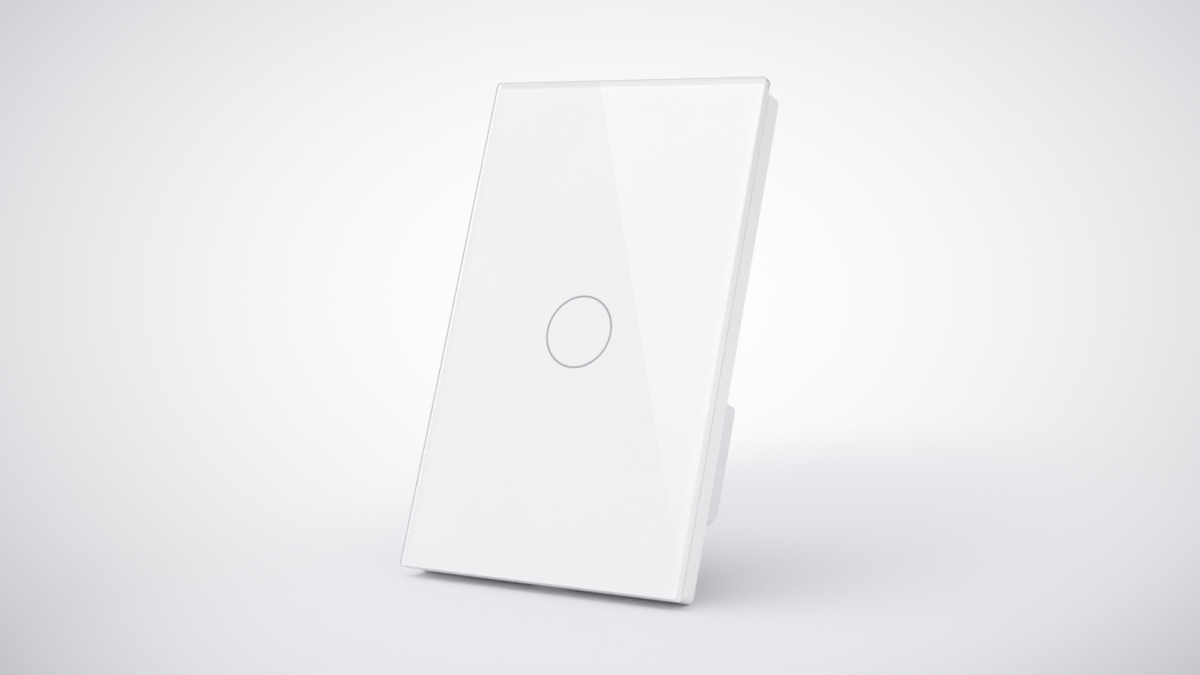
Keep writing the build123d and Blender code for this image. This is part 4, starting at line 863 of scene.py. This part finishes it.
def bent_wire(start: Point, way: int, reach: float, foot: float, radius: float, bend: float = 0.6) -> Mesh:
    """Make a round wire that leaves a part along X, turns a quarter and runs along -Y to its foot.

    Args:
        start: Where it leaves the part.
        way: 1 where it leaves along +X, or -1.
        reach: From the part to the middle of the upright length.
        foot: Y of its end.
        radius: Radius of the wire.
        bend: Radius of the bend.

    Returns:
        The wire's mesh.
    """
    shape = bmesh.new()
    facing = Matrix.Translation(start) @ Matrix.Rotation(math.radians(90 * way), 4, "Y")
    bmesh.ops.create_circle(shape, cap_ends=True, segments=12, radius=radius, matrix=facing)
    grown = bmesh.ops.extrude_face_region(shape, geom=shape.faces[:])["geom"]
    bmesh.ops.translate(shape, verts=only(grown, bmesh.types.BMVert), vec=(way * (reach - bend), 0, 0))
    corner = (start[0] + way * (reach - bend), start[1] - bend, start[2])
    last = bmesh.ops.spin(shape, geom=only(grown, bmesh.types.BMFace), cent=corner, axis=(0, 0, -way),
                          dvec=(0, 0, 0), angle=math.radians(90), steps=5)["geom_last"]
    grown = bmesh.ops.extrude_face_region(shape, geom=only(last, bmesh.types.BMFace))["geom"]
    bmesh.ops.translate(shape, verts=only(grown, bmesh.types.BMVert), vec=(0, foot - corner[1], 0))
    return shape


def joined(shapes: Iterable[Mesh]) -> Mesh:
    """Put several meshes into one.

    Args:
        shapes: The meshes; each of them is freed.

    Returns:
        The one mesh.
    """
    whole = bmesh.new()
    for shape in shapes:
        spare = bpy.data.meshes.new("spare")
        shape.to_mesh(spare)
        shape.free()
        whole.from_mesh(spare)
        bpy.data.meshes.remove(spare)
    return whole


def solder_joint(centre: Spot, board: float, towards: float, pad: float = 0.85, wire: float = 0.4,
                 height: float = 0.6) -> Mesh:
    """Make a solder joint: a cone that curves in from its pad to the wire.

    Args:
        centre: X and Z of the wire.
        board: Y of the board's face.
        towards: 1 where the joint rises along +Y, or -1 towards the room.
        pad: Radius of the pad.
        wire: Radius at the top.
        height: Height of the cone.

    Returns:
        The joint's mesh.
    """
    rise = [(0.0, -0.02), (pad, -0.02), (pad * 0.95, 0.04), (pad * 0.66, height * 0.22), (wire * 1.1, height * 0.6),
            (wire * 0.8, height * 0.92), (0.0, height)]
    return turned([(radius, board + towards * up) for radius, up in rise], centre, 14)


@dataclass
class Camera:
    """The camera, placed where the photograph was taken from."""

    place: Point = (238.64, -384.65, -100.48)
    sight: Point = (-0.51564, 0.82910, 0.21611)
    upward: Point = (-0.04400, -0.27752, 0.95971)
    focal_length: float = 60.695
    film_width: float = 36.0

    def build(self) -> None:
        """Make the camera and look through it."""
        data = bpy.data.cameras.new("camera")
        data.lens, data.sensor_width, data.sensor_fit = self.focal_length, self.film_width, "HORIZONTAL"
        data.clip_start, data.clip_end = 0.01, 20.0
        sight = Vector(self.sight).normalized()
        right = sight.cross(Vector(self.upward)).normalized()
        turn = Matrix((right, right.cross(sight), -sight)).transposed()
        camera = bpy.data.objects.new("camera", data)
        camera.matrix_world = Matrix.Translation(Vector(self.place) * MM) @ turn.to_4x4()
        bpy.context.scene.collection.objects.link(camera)
        bpy.context.scene.camera = camera


@dataclass
class Studio:
    """A pale sweep of floor and backdrop, soft light from the upper left, and one tall soft box for the glass."""

    lean: float = 21.8
    foot_z: float = -58.0
    floor_radius: float = 1200.0
    glow_centre: Point = (-0.51144, 0.83157, 0.23958)
    glow_width: float = 0.42
    glow_height: float = 0.29
    glow_shade: str = "#FEFEFF"
    dim_shade: str = "#BFBFC5"
    far_dim: float = 0.25
    far_power: float = 4.0
    ambient_front: float = 0.93
    ambient_back: float = 0.89
    ambient_span: Spot = (-0.6, 0.8)
    key_place: Point = (-560.0, -620.0, 640.0)
    key_size: float = 1400.0
    key_power: float = 3.3
    glass_front: float = -10.3
    box_edge_top: Spot = (-7.3, 58.5)
    box_edge_low: Spot = (31.6, -42.3)
    box_width: float = 120.0
    box_reach: float = 3.3

    def build(self) -> None:
        """Build the surroundings in order."""
        bpy.context.scene.view_settings.view_transform = "Standard"
        self.light_world()
        self.lay_floor()
        self.hang_key()
        self.stand_soft_box()

    def light_world(self) -> None:
        """Light the object evenly, and show a backdrop that is brightest behind it."""
        world = bpy.data.worlds.new("pale_studio")
        bpy.context.scene.world = world
        add = empty_tree(world)
        place = add("TexCoord").outputs["Generated"]
        turn = bpy.context.scene.camera.matrix_world.to_euler()
        local = add("Mapping", {
            "Vector": place, "Location": Vector(self.glow_centre).normalized(), "Rotation": turn,
            "Scale": (self.glow_width, self.glow_height, 1.0)}, vector_type="TEXTURE")
        away = add("VectorMath", {0: local, 1: local}, operation="DOT_PRODUCT")
        far = add("Math", {0: away, 1: self.far_power}, operation="POWER")
        dim = add("Math", {0: far, 1: self.far_dim, 2: away}, operation="MULTIPLY_ADD")
        backdrop = add("Mix", {0: dim, 6: self.glow_shade, 7: self.dim_shade}, data_type="RGBA")
        path = add("LightPath").outputs
        mirrored = add("Math", {0: path["Is Glossy Ray"], 1: path["Is Transmission Ray"]}, operation="MAXIMUM")
        seen = add("Math", {0: path["Is Camera Ray"], 1: mirrored}, operation="MAXIMUM")
        depth = add("SeparateXYZ", {0: place}).outputs[1]
        fill = add("MapRange", {
            0: depth, 1: self.ambient_span[0], 2: self.ambient_span[1], 3: self.ambient_front, 4: self.ambient_back})
        even = add("CombineColor", {0: fill, 1: fill, 2: fill})
        shown = add("Mix", {0: seen, 6: even, 7: backdrop}, data_type="RGBA")
        add("OutputWorld", {"Surface": add("Background", {"Color": shown, "Strength": 1.0})})

    def lay_floor(self) -> None:
        """Lay the floor that the switch leans on."""
        shape = bmesh.new()
        bmesh.ops.create_circle(shape, cap_ends=True, segments=96, radius=self.floor_radius * MM)
        floor = put("floor", shape, FloorPaper())
        floor.matrix_world = Matrix.Translation((0, 0, self.foot_z * MM)) @ Matrix.Rotation(
            math.radians(self.lean), 4, "X")

    def hang_key(self) -> None:
        """Hang the soft key lamp to the upper left, aimed at the switch."""
        data = bpy.data.lights.new("key_lamp", "AREA")
        data.shape, data.size, data.energy = "SQUARE", self.key_size * MM, self.key_power
        lamp = bpy.data.objects.new("key_lamp", data)
        place = Vector(self.key_place) * MM
        lamp.matrix_world = Matrix.Translation(place) @ (-place).to_track_quat("-Z", "Y").to_matrix().to_4x4()
        lamp.visible_glossy = False
        bpy.context.scene.collection.objects.link(lamp)

    def stand_soft_box(self) -> None:
        """Stand the soft box whose straight edge shows in the glass, where the mirrored camera sees it."""
        eye = Vector(bpy.context.scene.camera.matrix_world.translation) / MM
        eye.y = 2 * self.glass_front - eye.y
        top, low = (Vector((x, self.glass_front, z)) for x, z in (self.box_edge_top, self.box_edge_low))
        run, side = low - top, Vector((self.box_width, 0, 0))
        corners = [top - run, low + run, low + run + side, top - run + side]
        shape = bmesh.new()
        shape.faces.new([shape.verts.new((eye + (c - eye) * self.box_reach) * MM) for c in corners])
        box = put("soft_box", shape, SoftBoxCloth())
        box.visible_camera = box.visible_diffuse = box.visible_transmission = box.visible_shadow = False


@dataclass
class Assembly:
    """A sub-assembly of the switch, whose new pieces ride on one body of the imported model."""

    body: str = "base"

    def make(self, name: str, shape: Mesh, look: Enum, slot: str) -> bpy.types.Object:
        """Turn a finished bmesh in millimetres into a piece.

        Args:
            name: Name of the new piece.
            shape: Its mesh, in millimetres; it is freed here.
            look: The finish that it takes.
            slot: The record's material slot that it belongs to; not used.

        Returns:
            The new object, at the origin and unturned.
        """
        bmesh.ops.recalc_face_normals(shape, faces=shape.faces)
        bmesh.ops.scale(shape, vec=(MM, MM, MM), verts=shape.verts)
        piece = put(name, shape, look.value)
        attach(piece, self.body)
        log.info("made %s: %d faces, rides on %s", name, len(piece.data.polygons), self.body)
        return piece


@dataclass
class FrontPanel(Assembly):
    """The panel that pulls off: glass, print, touch ring, tape and frame."""

    body: str = "front_panel"
    print_size: Spot = (71.8, 117.8)
    print_corner: float = 0.6
    print_front: float = -7.82
    print_back: float = -7.65

    def build(self) -> None:
        """Bond the white print to the glass and dress the panel, with a ring too thin to shade the print behind it."""
        dress(Fronts.GLASS, "glass_panel")
        dress(Fronts.RING, "touch_ring_mark")
        dress(Mouldings.FOAM, "panel_adhesive")
        dress(Whites.FRAME, "panel_frame")
        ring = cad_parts["touch_ring_mark"]
        ring.visible_shadow = ring.visible_diffuse = False
        ink = self.make("bonded_white_ink", rounded_plate(
            self.print_size, self.print_corner, self.print_front, self.print_back), Fronts.INK, "white_ink")
        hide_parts("white_print")


@dataclass
class WallPlate(Assembly):
    """The base plate and the screws that hold the housing to it."""

    face: float = -2.2
    mark_radii: Spot = (2.0, 1.84)
    mark_rise: float = 0.04
    mark_root: float = 0.02
    mark_spots: tuple[Spot, ...] = ((-26.0, 45.0), (26.0, 45.0), (-13.0, 46.0), (13.0, 46.0),
                                    (-26.0, -45.0), (26.0, -45.0), (-13.0, -46.0), (13.0, -46.0),
                                    (-27.5, 4.0), (27.5, 4.0))

    def build(self) -> None:
        """Dress the plate and its screws and leave the ejectors' marks on its face."""
        dress(Whites.PLATE, "base_plate")
        dress(Metals.ZINC, "housing_screws")
        rings = (turned_ring(self.mark_radii, self.face - self.mark_rise, self.face + self.mark_root, spot)
                 for spot in self.mark_spots)
        self.make("ejector_marks_front", joined(rings), Whites.PLATE, "base_abs")


@dataclass
class TouchElectronics(Assembly):
    """The touch board with its sensing spring, lamps, controller, reset switch and small parts."""

    board_front: float = -4.4
    ring_centre: Spot = (0.0, -1.8)
    pad_radii: Spot = (4.9, 3.1)
    guard_radii: Spot = (6.3, 5.9)
    foil: float = 0.018
    foil_root: float = 0.01
    track: Spot = (0.5, 8.6)
    track_drop: float = 8.0
    lamp_orbit: float = 8.6
    lamp_front: float = -5.2
    lens_size: Spot = (1.1, 2.1)
    lens_corner: float = 0.3
    lens_rise: float = 0.12
    lens_root: float = 0.05
    reset_spot: Spot = (16.0, -23.0)
    reset_front: float = -6.0
    reset_bore: float = 1.12
    collar_radius: float = 1.95
    collar_rise: float = 0.12
    collar_root: float = 0.02
    collar_edge: float = 0.04
    collar_slope: float = 0.1
    rivet_offset: float = 1.65
    rivet_radius: float = 0.32
    rivet_dome: tuple[Spot, ...] = ((0.0, 0.0), (0.2, 0.02), (0.3, 0.08))
    pin_pitch: float = 2.54
    pin_row_z: float = 13.0
    pin_columns: int = 4
    pin_rows: int = 2
    pin_joint: Point = (0.85, 0.5, 0.55)
    part_length: float = 1.6
    part_width: float = 0.8
    part_rise: float = 0.5
    part_end: float = 0.32
    body_sink: float = 0.06
    body_inset: float = 0.04
    body_edge: float = 0.05
    end_edge: float = 0.07
    parts: tuple[tuple[float, float, int], ...] = (
        (-6.2, -15.0, 0), (-6.2, -17.0, 0), (6.2, -15.6, 0), (6.2, -17.6, 0), (-5.0, -24.0, 1), (-2.5, -24.0, 1),
        (0.0, -24.0, 1), (2.5, -24.0, 1), (9.0, -23.0, 0), (9.0, -25.0, 0), (-12.5, -9.5, 1), (12.5, -9.5, 1),
        (-12.5, 6.0, 1), (12.5, 6.0, 1), (-9.0, 13.0, 1), (9.0, 13.0, 1), (-11.5, 13.0, 1), (11.5, 13.0, 1),
        (-16.0, -24.0, 0), (-16.0, -26.0, 0), (-15.0, 24.0, 0), (15.0, 24.0, 0))

    def build(self) -> None:
        """Dress the board and its pieces, then add the copper, the lenses, the small parts and the joints."""
        for look, node in ((Boards.TOUCH, "touch_board"), (Metals.ZINC, "touch_board_screws"),
                           (Metals.SPRING, "touch_spring"), (Mouldings.GUIDE, "light_guide_ring"),
                           (Mouldings.LAMP, "indicator_leds"), (Mouldings.CHIP, "touch_chip"),
                           (Mouldings.NYLON, "reset_switch_body"), (Mouldings.BUTTON, "reset_button")):
            dress(look, node)
        self.etch_copper()
        self.fit_lenses()
        self.fit_small_parts()
        self.cap_reset_switch()
        joints = (solder_joint((self.pin_pitch * (column - (self.pin_columns - 1) / 2),
                                self.pin_row_z + self.pin_pitch * (row - (self.pin_rows - 1) / 2)),
                               self.board_front, -1, *self.pin_joint)
                  for column in range(self.pin_columns) for row in range(self.pin_rows))
        self.make("header_solder", joined(joints), Metals.SOLDER, "tinned_steel")

    def etch_copper(self) -> None:
        """Lay the spring's gold pad, the guard ring round it and the track that leaves it."""
        front, back = self.board_front - self.foil, self.board_front + self.foil_root
        rings = [turned_ring(radii, front, back, self.ring_centre, 64) for radii in (self.pad_radii, self.guard_radii)]
        track = block((self.track[0], back - front, self.track[1]),
                      (0.0, (front + back) / 2, self.ring_centre[1] - self.track_drop))
        self.make("spring_pad", joined([*rings, track]), Metals.GOLD, "gold_pin")

    def fit_lenses(self) -> None:
        """Set a phosphor window in the front of each lamp."""
        lenses = []
        for quarter in range(4):
            lens = rounded_plate(self.lens_size, self.lens_corner, self.lamp_front - self.lens_rise,
                                 self.lamp_front + self.lens_root)
            place = Matrix.Translation((self.ring_centre[0], 0, self.ring_centre[1])) @ Matrix.Rotation(
                -math.radians(45 + 90 * quarter), 4, "Y") @ Matrix.Translation((self.lamp_orbit, 0, 0))
            bmesh.ops.transform(lens, matrix=place, verts=lens.verts)
            lenses.append(lens)
        self.make("lamp_lenses", joined(lenses), Mouldings.PHOSPHOR, "lamp_epoxy")

    def fit_small_parts(self) -> None:
        """Solder the chip resistors and capacitors to the board: dark bodies between bright ends."""
        bodies, ends = [], []
        middle, length = self.board_front - self.part_rise / 2, self.part_length - self.part_end
        for x, z, turn in self.parts:
            upright = Matrix.Translation((x, middle, z)) @ Matrix.Rotation(math.radians(90 * turn), 4, "Y")
            bodies.append(block((length, self.part_rise - self.body_sink, self.part_width - self.body_inset),
                                (0, self.body_sink / 2, 0), self.body_edge, 1))
            pair = [block((self.part_end, self.part_rise, self.part_width), (side * length / 2, 0, 0), self.end_edge)
                    for side in (-1, 1)]
            for shape in (bodies[-1], *pair):
                bmesh.ops.transform(shape, matrix=upright, verts=shape.verts)
            ends += pair
        self.make("chip_part_bodies", joined(bodies), Mouldings.RESISTOR, "black_epoxy")
        self.make("chip_part_ends", joined(ends), Metals.SOLDER, "tinned_steel")

    def cap_reset_switch(self) -> None:
        """Put the steel collar and its four rivets on the reset switch."""
        x, z = self.reset_spot
        outer, bore, step = self.collar_radius, self.reset_bore, self.rivet_offset
        low, high = self.reset_front + self.collar_root, self.reset_front - self.collar_rise
        edge = high + self.collar_edge
        collar = turned([(outer, low), (outer, edge), (outer - self.collar_slope, high),
                         (bore + self.collar_slope / 2, high), (bore, edge), (bore, low), (outer, low)],
                        self.reset_spot, 40)
        dome = [(radius, high + drop) for radius, drop in self.rivet_dome]
        rivets = [turned([*dome, (self.rivet_radius, low), (0.0, low)], (x + dx, z + dz), 16)
                  for dx in (-step, step) for dz in (-step, step)]
        self.make("reset_switch_collar", joined([collar, *rivets]), Metals.TINPLATE, "tinned_steel")


@dataclass
class RadioModule(Assembly):
    """The radio board behind the touch board, its shield, and the header that joins the boards."""

    board_back: float = -2.4
    half_width: float = 9.0
    antenna_margin: float = 1.4
    antenna_low: float = -4.5
    antenna_high: float = -1.9
    antenna_line: float = 0.35
    antenna_foil: float = 0.05
    antenna_steps: int = 10
    bead: Point = (0.7, 0.75, 0.9)
    bead_edge: float = 0.22
    bead_offset: float = 0.1
    bead_y: float = -2.85
    pad_low: float = -15.6
    pad_pitch: float = 1.6
    edge_pads: int = 8

    def build(self) -> None:
        """Dress the module, print its antenna and solder its edge."""
        dress(Boards.RADIO, "radio_board")
        dress(Metals.TINPLATE, "radio_shield")
        dress(Mouldings.NYLON, "pin_header", "pin_socket")
        dress(Metals.GOLD, "header_pins")
        self.print_antenna()
        self.solder_edges()

    def print_antenna(self) -> None:
        """Lay the antenna's meander: upright and level runs of one gold line."""
        lines = []
        start = -self.half_width + self.antenna_margin
        pitch = 2 * (self.half_width - self.antenna_margin) / self.antenna_steps
        height = self.antenna_high - self.antenna_low
        for step in range(self.antenna_steps + 1):
            x = start + pitch * step
            lines.append(block((self.antenna_line, self.antenna_foil, height),
                               (x, self.board_back, self.antenna_low + height / 2)))
            if step < self.antenna_steps:
                z = self.antenna_high if step % 2 == 0 else self.antenna_low
                lines.append(block((pitch + self.antenna_line, self.antenna_foil, self.antenna_line),
                                   (x + pitch / 2, self.board_back, z)))
        self.make("antenna_trace", joined(lines), Metals.GOLD, "gold_pin")

    def solder_edges(self) -> None:
        """Put a bead of solder on each pad along the module's two sides."""
        beads = (block(self.bead, (side * (self.half_width + self.bead_offset), self.bead_y,
                                   self.pad_low + self.pad_pitch * pad), self.bead_edge)
                 for side in (-1, 1) for pad in range(self.edge_pads))
        self.make("module_edge_solder", joined(beads), Metals.SOLDER, "tinned_steel")


@dataclass
class RearHousing(Assembly):
    """The box that sits in the wall, with its blank rating field and the marks of its mould."""

    shallow_back: float = 18.1
    root: float = 0.02
    field_middle: Spot = (0.0, 26.6)
    field_size: Spot = (26.0, 6.6)
    field_corner: float = 1.0
    field_line: float = 0.5
    field_rise: float = 0.2
    field_floor: float = 0.03
    mark_radii: Spot = (1.8, 1.64)
    mark_rise: float = 0.04
    mark_spots: tuple[Spot, ...] = ((-19.5, 27.5), (19.5, 27.5), (-19.5, -4.5), (19.5, -4.5))

    def build(self) -> None:
        """Dress the housing, frame its blank field and leave the ejectors' marks."""
        dress(Whites.HOUSING, "rear_housing")
        front, back = self.shallow_back - self.root, self.shallow_back
        outer = rounded_plate(self.field_size, self.field_corner, front, back + self.field_rise, self.field_middle)
        top = max(outer.faces, key=lambda face: face.calc_center_median().y)
        bmesh.ops.inset_region(outer, faces=[top], thickness=self.field_line, depth=0.0, use_even_offset=True)
        bmesh.ops.translate(outer, verts=top.verts[:], vec=(0, self.field_floor - self.field_rise, 0))
        marks = (turned_ring(self.mark_radii, front, back + self.mark_rise, spot) for spot in self.mark_spots)
        self.make("rating_field_rim", joined([outer, *marks]), Whites.HOUSING, "housing_abs")


@dataclass
class PowerBoard(Assembly):
    """The power board, its screws and the legs and joints of the parts on it."""

    front: float = 4.0
    leg_tip: float = 0.7
    pins: tuple[Spot, ...] = (
        (-20.4, -17.0), (-20.4, -22.4), (-4.6, -17.0), (-4.6, -22.4), (-4.6, -19.7),
        (6.4, -23.6), (9.0, -23.6), (14.0, -23.6), (16.6, -23.6), (6.4, -14.6), (9.0, -14.6), (14.0, -14.6),
        (16.6, -14.6), (-11.43, -28.6), (-3.81, -28.6), (3.81, -28.6), (11.43, -28.6))
    posts: tuple[tuple[float, float, float, float], ...] = (
        (-13.75, 14.0, 0.3, 6.2), (-6.25, 14.0, 0.3, 6.2), (0.0, 3.0, 0.35, 7.4), (5.0, 3.0, 0.35, 7.4))
    wires: tuple[tuple[Point, int, float, float], ...] = (
        ((-18.9, 9.9, -0.25), -1, 1.3, 0.3), ((-18.9, 9.9, 3.25), -1, 1.3, 0.3),
        ((10.6, 9.05, 11.25), -1, 1.2, 0.25), ((10.6, 9.05, 13.75), -1, 1.2, 0.25),
        ((9.8, 7.7, -1.0), -1, 1.1, 0.3), ((19.2, 7.7, -1.0), 1, 1.1, 0.3))
    rectifier_spots: tuple[Spot, ...] = ((0.6, 18.5), (4.4, 18.5), (0.6, 22.5), (4.4, 22.5))
    rectifier_middle: float = 20.5
    wing_width: float = 0.6
    wing_thickness: float = 0.15
    wing_line: tuple[Spot, ...] = ((7.0, -0.1), (7.0, 0.5), (5.85, 0.7), (5.72, 1.3))

    def build(self) -> None:
        """Dress the board, then add the legs of the parts that stand on it and their joints."""
        dress(Boards.POWER, "power_board")
        dress(Metals.ZINC, "power_board_screws")
        spots = [*self.pins, *((x, z) for x, z, _, _ in self.posts),
                 *((start[0] + way * reach, start[2]) for start, way, reach, _ in self.wires)]
        self.make("power_board_joints", joined(solder_joint(spot, self.front, -1) for spot in spots),
                  Metals.SOLDER, "tinned_steel")
        tip = self.front - self.leg_tip
        legs = [turned([(0.0, tip), (radius, tip), (radius, top), (0.0, top)], (x, z), 12)
                for x, z, radius, top in self.posts]
        legs += [bent_wire(start, way, reach, tip, radius) for start, way, reach, radius in self.wires]
        legs += [self.gull_wing(x, z) for x, z in self.rectifier_spots]
        self.make("component_legs", joined(legs), Metals.TINPLATE, "tinned_steel")

    def gull_wing(self, x: float, z: float) -> Mesh:
        """Fold one of the rectifier's legs: out of its side, down and out again on the board.

        Args:
            x: X of the leg's middle.
            z: Z where it leaves the rectifier.

        Returns:
            The leg's mesh.
        """
        out = math.copysign(1.0, z - self.rectifier_middle)
        return bent_strip([(x - self.wing_width / 2, depth, z + step * out) for depth, step in self.wing_line],
                          (self.wing_width, 0, 0), self.wing_thickness)


@dataclass
class Terminals(Assembly):
    """The screw terminals: block, tongues, clamps and screws."""

    poles: int = 4

    def build(self) -> None:
        """Dress the terminals, pole by pole."""
        dress(Mouldings.TERMINAL, "terminal_block")
        dress(Metals.BRASS, "terminal_tongues")
        for pole in range(1, self.poles + 1):
            dress(Metals.BRASS, f"wire_clamp_{pole}")
            dress(Metals.ZINC, f"terminal_screw_{pole}")


@dataclass
class Relay(Assembly):
    """The relay: case, coil, armature and contacts."""

    case_back: float = 20.9
    vent_spot: Spot = (-4.2, -22.4)
    vent_profile: tuple[Spot, ...] = ((0.0, -0.05), (0.8, -0.05), (0.75, 0.12), (0.55, 0.24), (0.0, 0.28))

    def build(self) -> None:
        """Dress the relay and leave the sealed vent on its case."""
        dress(Mouldings.RELAY, "relay_base", "relay_case")
        dress(Metals.IRON, "relay_yoke", "relay_core", "relay_armature")
        dress(Mouldings.BOBBIN, "relay_bobbin")
        dress(Axial.WINDING, "relay_winding")
        dress(Metals.BRONZE, "moving_contact", "fixed_contact")
        nub = turned([(radius, self.case_back + rise) for radius, rise in self.vent_profile], self.vent_spot)
        self.make("relay_vent_nub", nub, Mouldings.RELAY, "relay_pbt")


@dataclass
class Transformer(Assembly):
    """The transformer: ferrite core, bobbin, taped winding and the band that holds the core together."""

    core_low: Point = (5.0, 7.9, -22.1)
    core_high: Point = (18.0, 18.9, -16.1)
    band_width: float = 3.6
    band_thickness: float = 0.08
    band_start: float = 0.1
    band_gap: float = 0.01

    def build(self) -> None:
        """Dress the transformer and wrap its core."""
        dress(Mouldings.FERRITE, "transformer_core")
        dress(Mouldings.NYLON, "transformer_bobbin")
        dress(Mouldings.TAPE_WRAP, "transformer_winding")
        middle = (self.core_low[2] + self.core_high[2] - self.band_width) / 2
        left, right = self.core_low[0] - self.band_gap, self.core_high[0] + self.band_gap
        front, back = self.core_low[1] + self.band_start, self.core_high[1] + self.band_gap
        band = bent_strip([(left, front, middle), (left, back, middle), (right, back, middle),
                           (right, front, middle)], (0, 0, self.band_width), self.band_thickness)
        self.make("core_band", band, Mouldings.TAPE_WRAP, "winding_tape")


@dataclass
class PowerParts(Assembly):
    """The capacitors, the varistor, the fuse and the rectifier."""

    def build(self) -> None:
        """Dress each part in what it is really made of."""
        for look, node in ((Axial.FILTER_CAN, "filter_capacitor"), (Axial.OUTPUT_CAN, "output_capacitor"),
                           (Mouldings.BOX, "safety_capacitor"), (Mouldings.DIP, "varistor"), (Axial.FUSE, "fuse"),
                           (Mouldings.CHIP, "rectifier")):
            dress(look, node)


def main() -> None:
    """Build the scene in order: camera and studio, then the switch from front to back."""
    logging.basicConfig(level=logging.INFO, format="%(message)s")
    for part in (Camera(), Studio(), FrontPanel(), WallPlate(), TouchElectronics(), RadioModule(), RearHousing(),
                 PowerBoard(), Terminals(), Relay(), Transformer(), PowerParts()):
        part.build()


if __name__ == "__main__":
    main()
